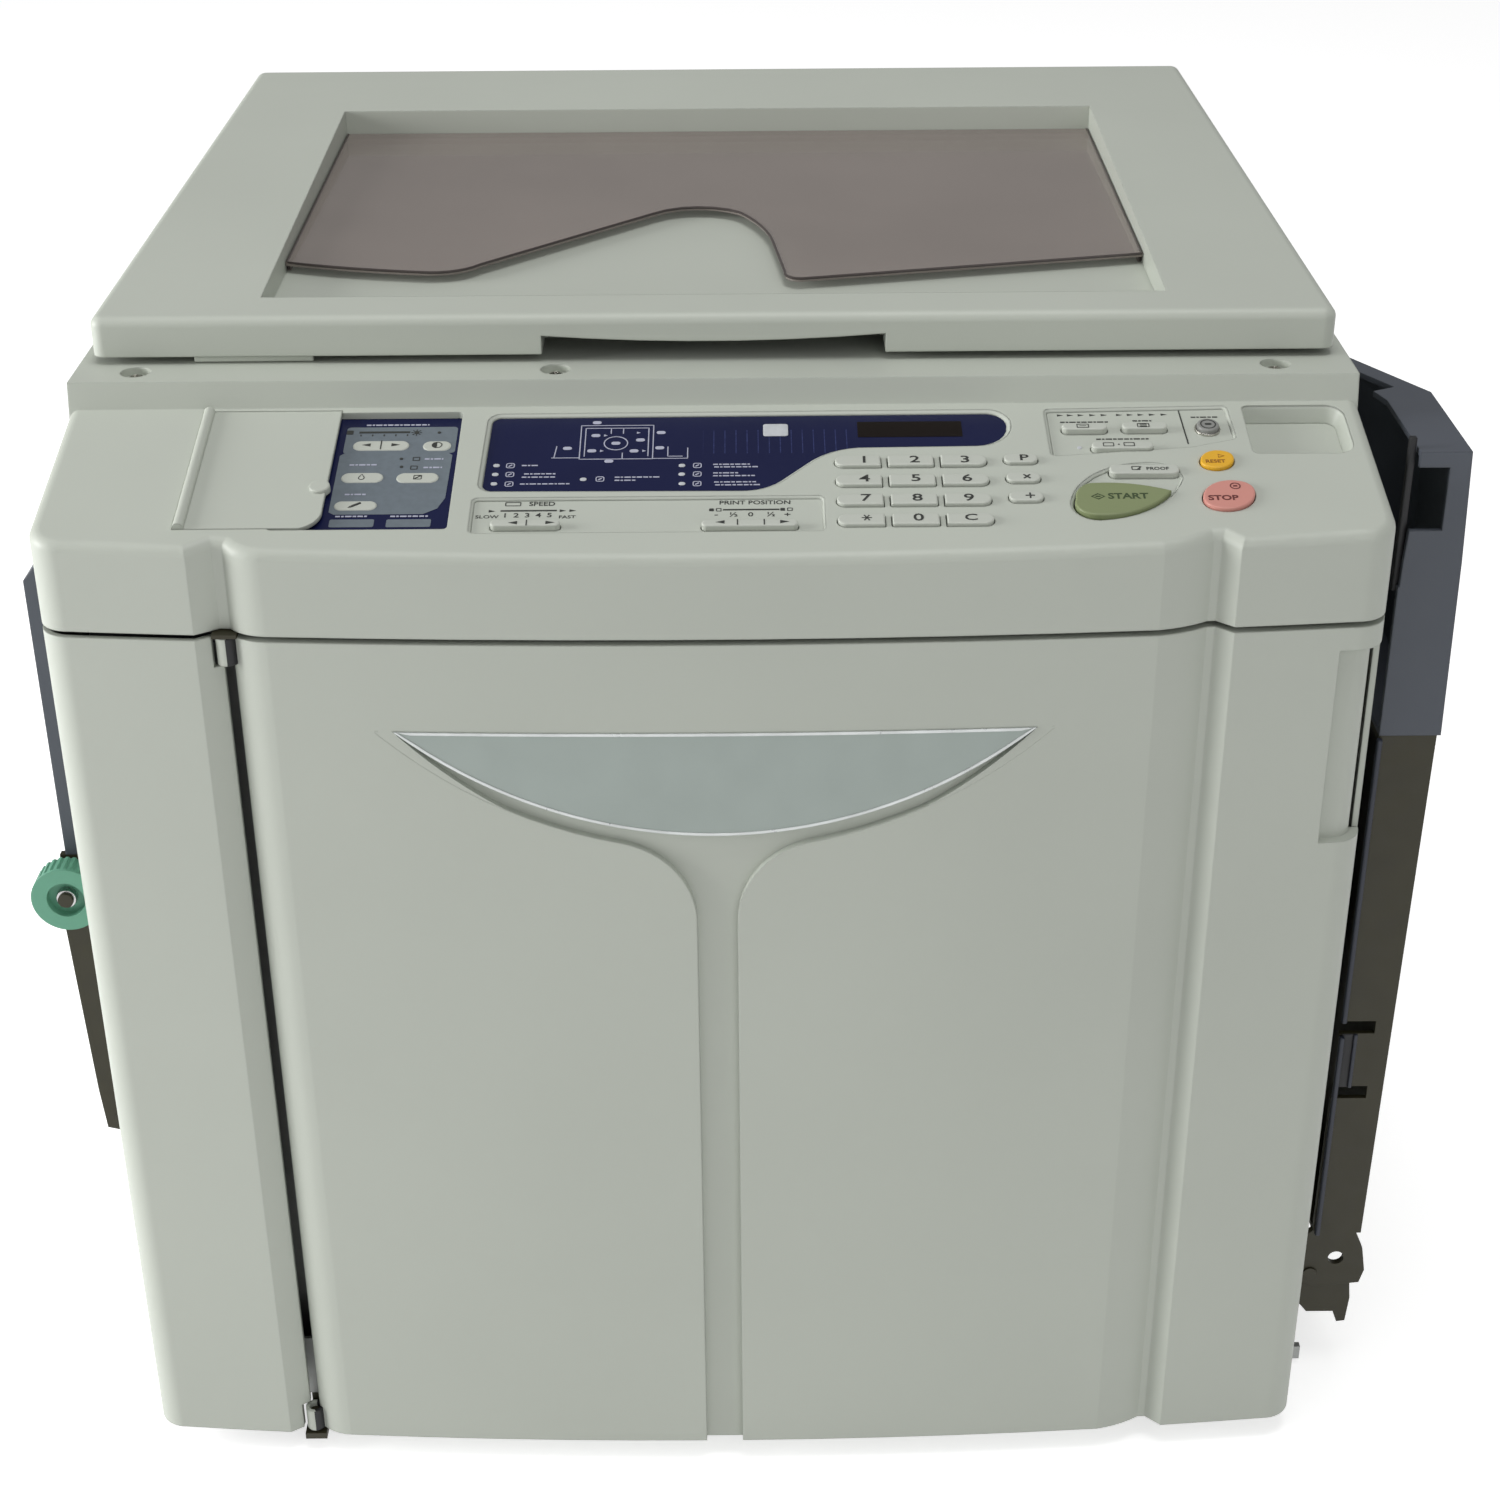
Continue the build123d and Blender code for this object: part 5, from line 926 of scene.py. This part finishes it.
def ledge_screws():
    """Screws in the three pockets of the ledge."""
    piece = Piece()
    for x in (-HALF_W + 31, -79, HALF_W - 39):
        screw(piece, facing((x, RISER_Y + 18, LEDGE_Z - 4), (1, 0, 0), (0, 1, 0)))
    piece.done("ledge_screws", "chassis", "rail_steel", CHROME)


def cover_screws():
    """Screws in the side and rear covers."""
    piece = Piece()
    for x in (-296, -100, 100, 296):
        for z in (40, 492):
            screw(piece, facing((x, BACK_Y, z), (-1, 0, 0), (0, 0, 1)))
    for side in (-1, 1):
        for y, z in ((60, 34), (560, 34), (560, 480)):
            screw(piece, facing((side * HALF_W, y, z), (0, side, 0), (0, 0, 1)))
    piece.done("cover_screws", "chassis", "rail_steel", CHROME)


BADGE_W = 307.0
BADGE_TOP = 461.0
BADGE_SAG = 56.0
RIM_W = 1.5
RIM_FOOT = -0.3
RIM_PROUD = 0.65


def badge_rim():
    """Pale rim round the half lens, along the bowed front."""
    half = BADGE_W / 2
    r = (half**2 + BADGE_SAG**2) / (2 * BADGE_SAG)
    steps = 40
    low = [-half + 2 * half * k / steps for k in range(steps + 1)]
    arc = [(x, BADGE_TOP - BADGE_SAG + r - math.sqrt(r * r - x * x)) for x in low]
    line = [(half - 2 * half * k / steps, BADGE_TOP) for k in range(1, steps)]
    rim = Piece().frame(arc + line, RIM_W, on_front, RIM_FOOT, RIM_PROUD)
    rim.done("badge_rim", "door", "badge", METAL_RIM)


# Arcs about x = 0 at the door's hollow: radius, and height of the centre
HOLLOW_WALL = (235.6, 631.6)
LENS_EDGE = (238.5, 643.2)
TIP_X = 100.0             # the fillers of the hollow's tips begin here
TIP_OUTER = (21, 3.3)     # points and their spacing, along the hollow's wall
TIP_INNER = (17, 3.18)    # along the edge that narrows the hollow
TIP_LAP = 1.6             # they lap over the hollow's wall
TIP_D = 3.9
TIP_PROUD = 0.06
TIP_END = (154.3, 462.2)
TIP_BEND = 1.3            # how soon the hollow narrows


def arc_z(x, r, middle):
    """Height of an arc's lower half at x."""
    return middle - math.sqrt(r * r - x * x)


def hollow_tips():
    """Flush fillers, so that the door's hollow narrows to nothing at the badge's ends."""
    fill = Piece()
    wall_r, wall_z = HOLLOW_WALL
    count, step = TIP_OUTER
    outer = [(x, arc_z(x, wall_r + TIP_LAP, wall_z)) for x in (TIP_X + k * step for k in range(count))]
    outer.append(TIP_END)
    count, step = TIP_INNER
    inner = []
    for k in range(count, 0, -1):
        x = TIP_X + k * step
        wall = arc_z(x, wall_r, wall_z)
        inner.append((x, wall + (arc_z(x, *LENS_EDGE) - wall) * (k / count)**TIP_BEND))
    for side in (-1, 1):
        fill.pad([(side * x, z) for x, z in outer + inner], on_front, -TIP_D, TIP_PROUD)
    fill.done("hollow_tips", "door", "casing", FLUSH)


LID_Z = 597.0             # the lid's underside
# Finger grip in the lid's front: half width, depth and arched ceiling
GRIP_X = 85.0
GRIP_Y0 = 139.5
GRIP_Y1 = 161.0
GRIP_ARCH_Z = 603.2
GRIP_ARCH_RISE = 3.3      # from the middle to GRIP_ARCH_X
GRIP_ARCH_X = 86.5
# Thickness of the black ceiling that paints the shade in the finger grip
GRIP_SHADE_T = 0.8


def lid_details():
    """Black back wall and ceiling in the finger grip, painted shade of its hollow, and buffers under the
    lid.
    """
    # Painted shade: black sheets at the back and under the arch of the finger grip
    grip_shade = Piece()
    grip_shade.box((-GRIP_X, GRIP_Y1 + 0.4, LID_Z + 0.6), (GRIP_X, GRIP_Y1 + 1.8, LID_Z + 15), 0.6)
    steps = 20
    rows = []
    for k in range(steps + 1):
        x = -GRIP_X + 2 * GRIP_X * k / steps
        high = GRIP_ARCH_Z + GRIP_ARCH_RISE * (x / GRIP_ARCH_X)**2
        low = high - GRIP_SHADE_T
        corners = ((GRIP_Y0, low), (GRIP_Y1, low), (GRIP_Y1, high), (GRIP_Y0, high))
        rows.append([at(x, y, z) for y, z in corners])
    grip_shade.rings(rows)
    grip_shade.done("grip_painted_shade", "lid", "dark_plastic", BLACK)
    buffers = Piece()
    for x in (-270, 270):
        for y in (165, 560):
            place = facing((x, y, LID_Z), (1, 0, 0), (0, -1, 0))
            buffers.lathe(((5, 0), (5, 2.2), (4.2, 3.2), (1.5, 3.6)), place, 20)
    buffers.done("lid_buffers", "lid", "rubber", MATERIALS["rubber"])


def seam_strip():
    """Dark strip that shows in the seam at the left, and the lid's latch strip above it."""
    seam = ((-296, 4, SEAM_Z - 6), (-236, 8, SEAM_Z + 3.6))
    boxes("seam_strip", "chassis", "dark_plastic", BLACK, 0.6, [seam])
    latch = ((-262, 139.2, LID_Z - 3.5), (-202, 141.8, LID_Z - 0.6))
    boxes("latch_strip", "chassis", "casing", MATERIALS["casing"], 0.5, [latch])


SHEET_X = 229.4
SHEET_FRONT = 166.0
SHEET_BACK = 489.0
SHEET_Z = 612.1           # at its front; it climbs to the back
SHEET_CLIMB = 0.0225
SHEET_LINE = (
    ((-SHEET_X, SHEET_BACK), (-SHEET_X, SHEET_FRONT + 74.5)),
    ((-SHEET_X, SHEET_FRONT + 74.5), (-SHEET_X + 36, SHEET_FRONT + 64), (-SHEET_X + 78, SHEET_FRONT + 56.2)),
    ((-SHEET_X + 78, SHEET_FRONT + 56.2), (-140, SHEET_FRONT + 57.5), (-125.3, SHEET_FRONT + 68.8)),
    ((-125.3, SHEET_FRONT + 68.8), (-34.9, SHEET_FRONT + 156.5)),
    ((-34.9, SHEET_FRONT + 156.5), (-10, SHEET_FRONT + 167.5), (14, SHEET_FRONT + 157)),
    ((14, SHEET_FRONT + 157), (25.8, SHEET_FRONT + 131), (31.6, SHEET_FRONT + 103.5)),
    ((31.6, SHEET_FRONT + 103.5), (37.3, SHEET_FRONT + 51.8)),
    ((37.3, SHEET_FRONT + 51.8), (39.6, SHEET_FRONT + 44.4), (46, SHEET_FRONT + 41.8)),
    ((46, SHEET_FRONT + 41.8), (SHEET_X, SHEET_FRONT + 79)),
    ((SHEET_X, SHEET_FRONT + 79), (SHEET_X, SHEET_BACK)),
)
SHEET_EDGE_R = 0.75
SHEET_LEGS = ((-SHEET_X, SHEET_FRONT + 79), (SHEET_X, SHEET_FRONT + 83))
SHEET_LEG_Z = (608.9, 613.2)
SHEET_LEG_R = 0.9


def sheet_edges():
    """Dark edge of the smoked sheet at its front and sides, and of its two legs."""
    points = sampled(SHEET_LINE) + [(SHEET_X, SHEET_BACK)]
    rise = [SHEET_Z + (y - SHEET_FRONT) * SHEET_CLIMB for x, y in points]
    edge = Piece().tube([at(x, y, z) for (x, y), z in zip(points, rise)], SHEET_EDGE_R)
    for x, y in SHEET_LEGS:
        edge.tube([at(x, y, z) for z in SHEET_LEG_Z], SHEET_LEG_R)
    edge.done("sheet_edges", "lid", "smoked", EDGE)


# The pad's crowned underside: how far each ring is drawn in, and its share of the thickness
PAD_RINGS = (
    (1.6, 1.0), (0.4, 0.85), (0.0, 0.6), (0.3, 0.42), (1.2, 0.25), (3.5, 0.12), (14.0, 0.04), (40.0, 0.0),
)


def soft_pad():
    """Foam pad under the lid, crowned towards the glass."""
    lo, hi = foot_of("platen_pad"), top_of("platen_pad")
    width, depth, thick = (high - low for low, high in zip(lo, hi))
    middle = (lo + hi) / 2
    rows = []
    for inset, part in PAD_RINGS:
        outline = rounded(width - 2 * inset, depth - 2 * inset, 6, 4)
        z = lo.z + thick * part
        rows.append([Vector((middle.x + u, middle.y + v, z)) * MM for u, v in outline])
    pad = Piece().rings(rows).done("soft_pad", "lid", "foam", MATERIALS["foam"], ("platen_pad",))


def feed_side():
    """Feed tray: steel hub of its dial, and ribs."""
    hub = Piece()
    place = facing((-339, 43, 336), (1, 0, 0), (0, 0, 1))
    hub.lathe(((5.4, -4.0), (5.4, -0.6), (5.0, 0.0), (3.2, 0.2), (2.6, -0.8), (0.6, -0.9)), place, 24)
    hub.done("dial_hub", "dial", "rail_steel", MATERIALS["rail_steel"])
    ribs = [((-369.8, y, 402), (-368.6, y + 4, 462)) for y in range(214, 395, 30)]
    boxes("feed_tray_ribs", "feed", "tray_plastic", MATERIALS["tray_plastic"], 0.5, ribs)


def exit_side():
    """Receiving tray: dark edge strips, ribs, the slide between its slots and the hood's post."""
    trim = [((336.6, 56.4, low), (339.4, 59.9, high)) for low, high in ((97.5, 233), (242.5, 416))]
    boxes("receiving_tray_trim", "exit", "tray_plastic", NAVY_TRIM, 0.8, trim)
    ribs = [((338.2, y, 104), (341, y + 3, 410)) for y in range(90, 435, 43)]
    boxes("receiving_tray_ribs", "exit", "tray_plastic", BLACK, 0.5, ribs)
    slide = ((338, 59.2, 199), (345, 59.95, 234))
    boxes("receiving_tray_slide", "exit", "dark_plastic", BLACK, 0.3, [slide])
    guide = ((344.6, 58.2, 199), (346.8, 59.95, 234))
    boxes("receiving_tray_guide", "exit", "tray_plastic", NAVY_TRIM, 0.5, [guide])
    post = ((336.2, 64.2, 496), (339.8, 68, 576.5))
    boxes("hood_post", "exit", "dark_plastic", BLACK, 0.6, [post])


def mains_pins():
    """Three pins in the mains inlet."""
    pins = [((x - 1, 590, z - 2), (x + 1, 599, z + 2)) for x, z in ((219, 81), (226, 87), (233, 81))]
    boxes("mains_pins", "chassis", "rail_steel", MATERIALS["rail_steel"], 0.4, pins)


# Stage


def white_to_camera(name, colour, glow):
    """Pale surface that shows nearly white to the camera and in reflections, but keeps shadows."""
    mat = bpy.data.materials.new(name)
    mat.use_nodes = True
    nodes, links = mat.node_tree.nodes, mat.node_tree.links
    shader = nodes["Principled BSDF"]
    shader.inputs["Base Color"].default_value = colour
    shader.inputs["Roughness"].default_value = 0.9
    rays = nodes.new("ShaderNodeLightPath").outputs
    seen = rays["Is Camera Ray"]
    for kind in ("Is Glossy Ray", "Is Transmission Ray"):
        either = nodes.new("ShaderNodeMath")
        either.operation = "MAXIMUM"
        links.new(seen, either.inputs[0])
        links.new(rays[kind], either.inputs[1])
        seen = either.outputs[0]
    scaled = nodes.new("ShaderNodeMath")
    scaled.operation = "MULTIPLY"
    scaled.inputs[1].default_value = glow
    links.new(seen, scaled.inputs[0])
    shader.inputs["Emission Color"].default_value = (1, 1, 1, 1)
    links.new(scaled.outputs[0], shader.inputs["Emission Strength"])
    return mat


FLOOR_REACH = 14.0
FLOOR_GLOW = 0.6


def floor():
    mesh = bpy.data.meshes.new("floor")
    corners = [(x, y, 0) for x, y in bar(2 * FLOOR_REACH, 2 * FLOOR_REACH)]
    mesh.from_pydata(corners, [], [(0, 1, 2, 3)])
    mesh.materials.append(white_to_camera("floor", rgb(236, 236, 236), FLOOR_GLOW))
    ground = bpy.data.objects.new("floor", mesh)
    bpy.context.scene.collection.objects.link(ground)


LAMP_AIM = (0, 0, 0.4)
# Name, place, size across and power
LAMPS = (
    ("window_light", (-4.0, -0.6, 1.3), 2.0, 160),
    ("front_fill", (1.6, -3.6, 1.8), 3.0, 24),
    ("top_light", (0.2, -0.5, 4.2), 2.0, 50),
)
ROOM_LIGHT = 0.30         # of the surroundings, where the camera doesn't look at them


def lamp(name, place, size, power):
    data = bpy.data.lights.new(name, "AREA")
    data.shape = "DISK"
    data.size = size
    data.energy = power
    light = bpy.data.objects.new(name, data)
    light.location = place
    light.rotation_euler = (Vector(LAMP_AIM) - Vector(place)).to_track_quat("-Z", "Y").to_euler()
    bpy.context.scene.collection.objects.link(light)


def lights():
    for row in LAMPS:
        lamp(*row)
    world = bpy.data.worlds.new("soft_room")
    bpy.context.scene.world = world
    world.use_nodes = True
    nodes, links = world.node_tree.nodes, world.node_tree.links
    back = nodes["Background"]
    back.inputs["Color"].default_value = (1, 1, 1, 1)
    rays = nodes.new("ShaderNodeLightPath")
    room = nodes.new("ShaderNodeMapRange")
    room.inputs["To Min"].default_value = ROOM_LIGHT
    room.inputs["To Max"].default_value = 1.0
    links.new(rays.outputs["Is Camera Ray"], room.inputs["Value"])
    links.new(room.outputs[0], back.inputs["Strength"])


# Camera, at the photograph's angle

CAMERA_AT = (15.15, -1082.8, 1015.6)
PITCH = math.radians(28.453)
YAW = math.radians(0.077)
ROLL = math.radians(-0.405)
FOCAL = 60.66
SENSOR_W = 36.0
SHIFT_Y = 0.0175


def camera():
    data = bpy.data.cameras.new("camera")
    data.lens = FOCAL
    data.sensor_width = SENSOR_W
    data.shift_y = SHIFT_Y
    data.clip_start = 0.05
    forward = Vector((math.sin(YAW) * math.cos(PITCH), math.cos(YAW) * math.cos(PITCH), -math.sin(PITCH)))
    right = Vector((math.cos(YAW), -math.sin(YAW), 0))
    up = right.cross(forward)
    x_axis = right * math.cos(ROLL) + up * math.sin(ROLL)
    y_axis = -right * math.sin(ROLL) + up * math.cos(ROLL)
    turned = Matrix((x_axis, y_axis, -forward)).transposed()
    eye = bpy.data.objects.new("camera", data)
    eye.matrix_world = Matrix.Translation(at(*CAMERA_AT)) @ turned.to_4x4()
    bpy.context.scene.collection.objects.link(eye)
    bpy.context.scene.camera = eye


dress_nodes()
hollow_walls()
window_marks()
sub_plate_marks()
panel_marks()
key_marks()
ledge_screws()
cover_screws()
badge_rim()
hollow_tips()
lid_details()
seam_strip()
sheet_edges()
soft_pad()
feed_side()
exit_side()
mains_pins()
floor()
lights()
camera()
bpy.context.scene.view_settings.view_transform = "Standard"
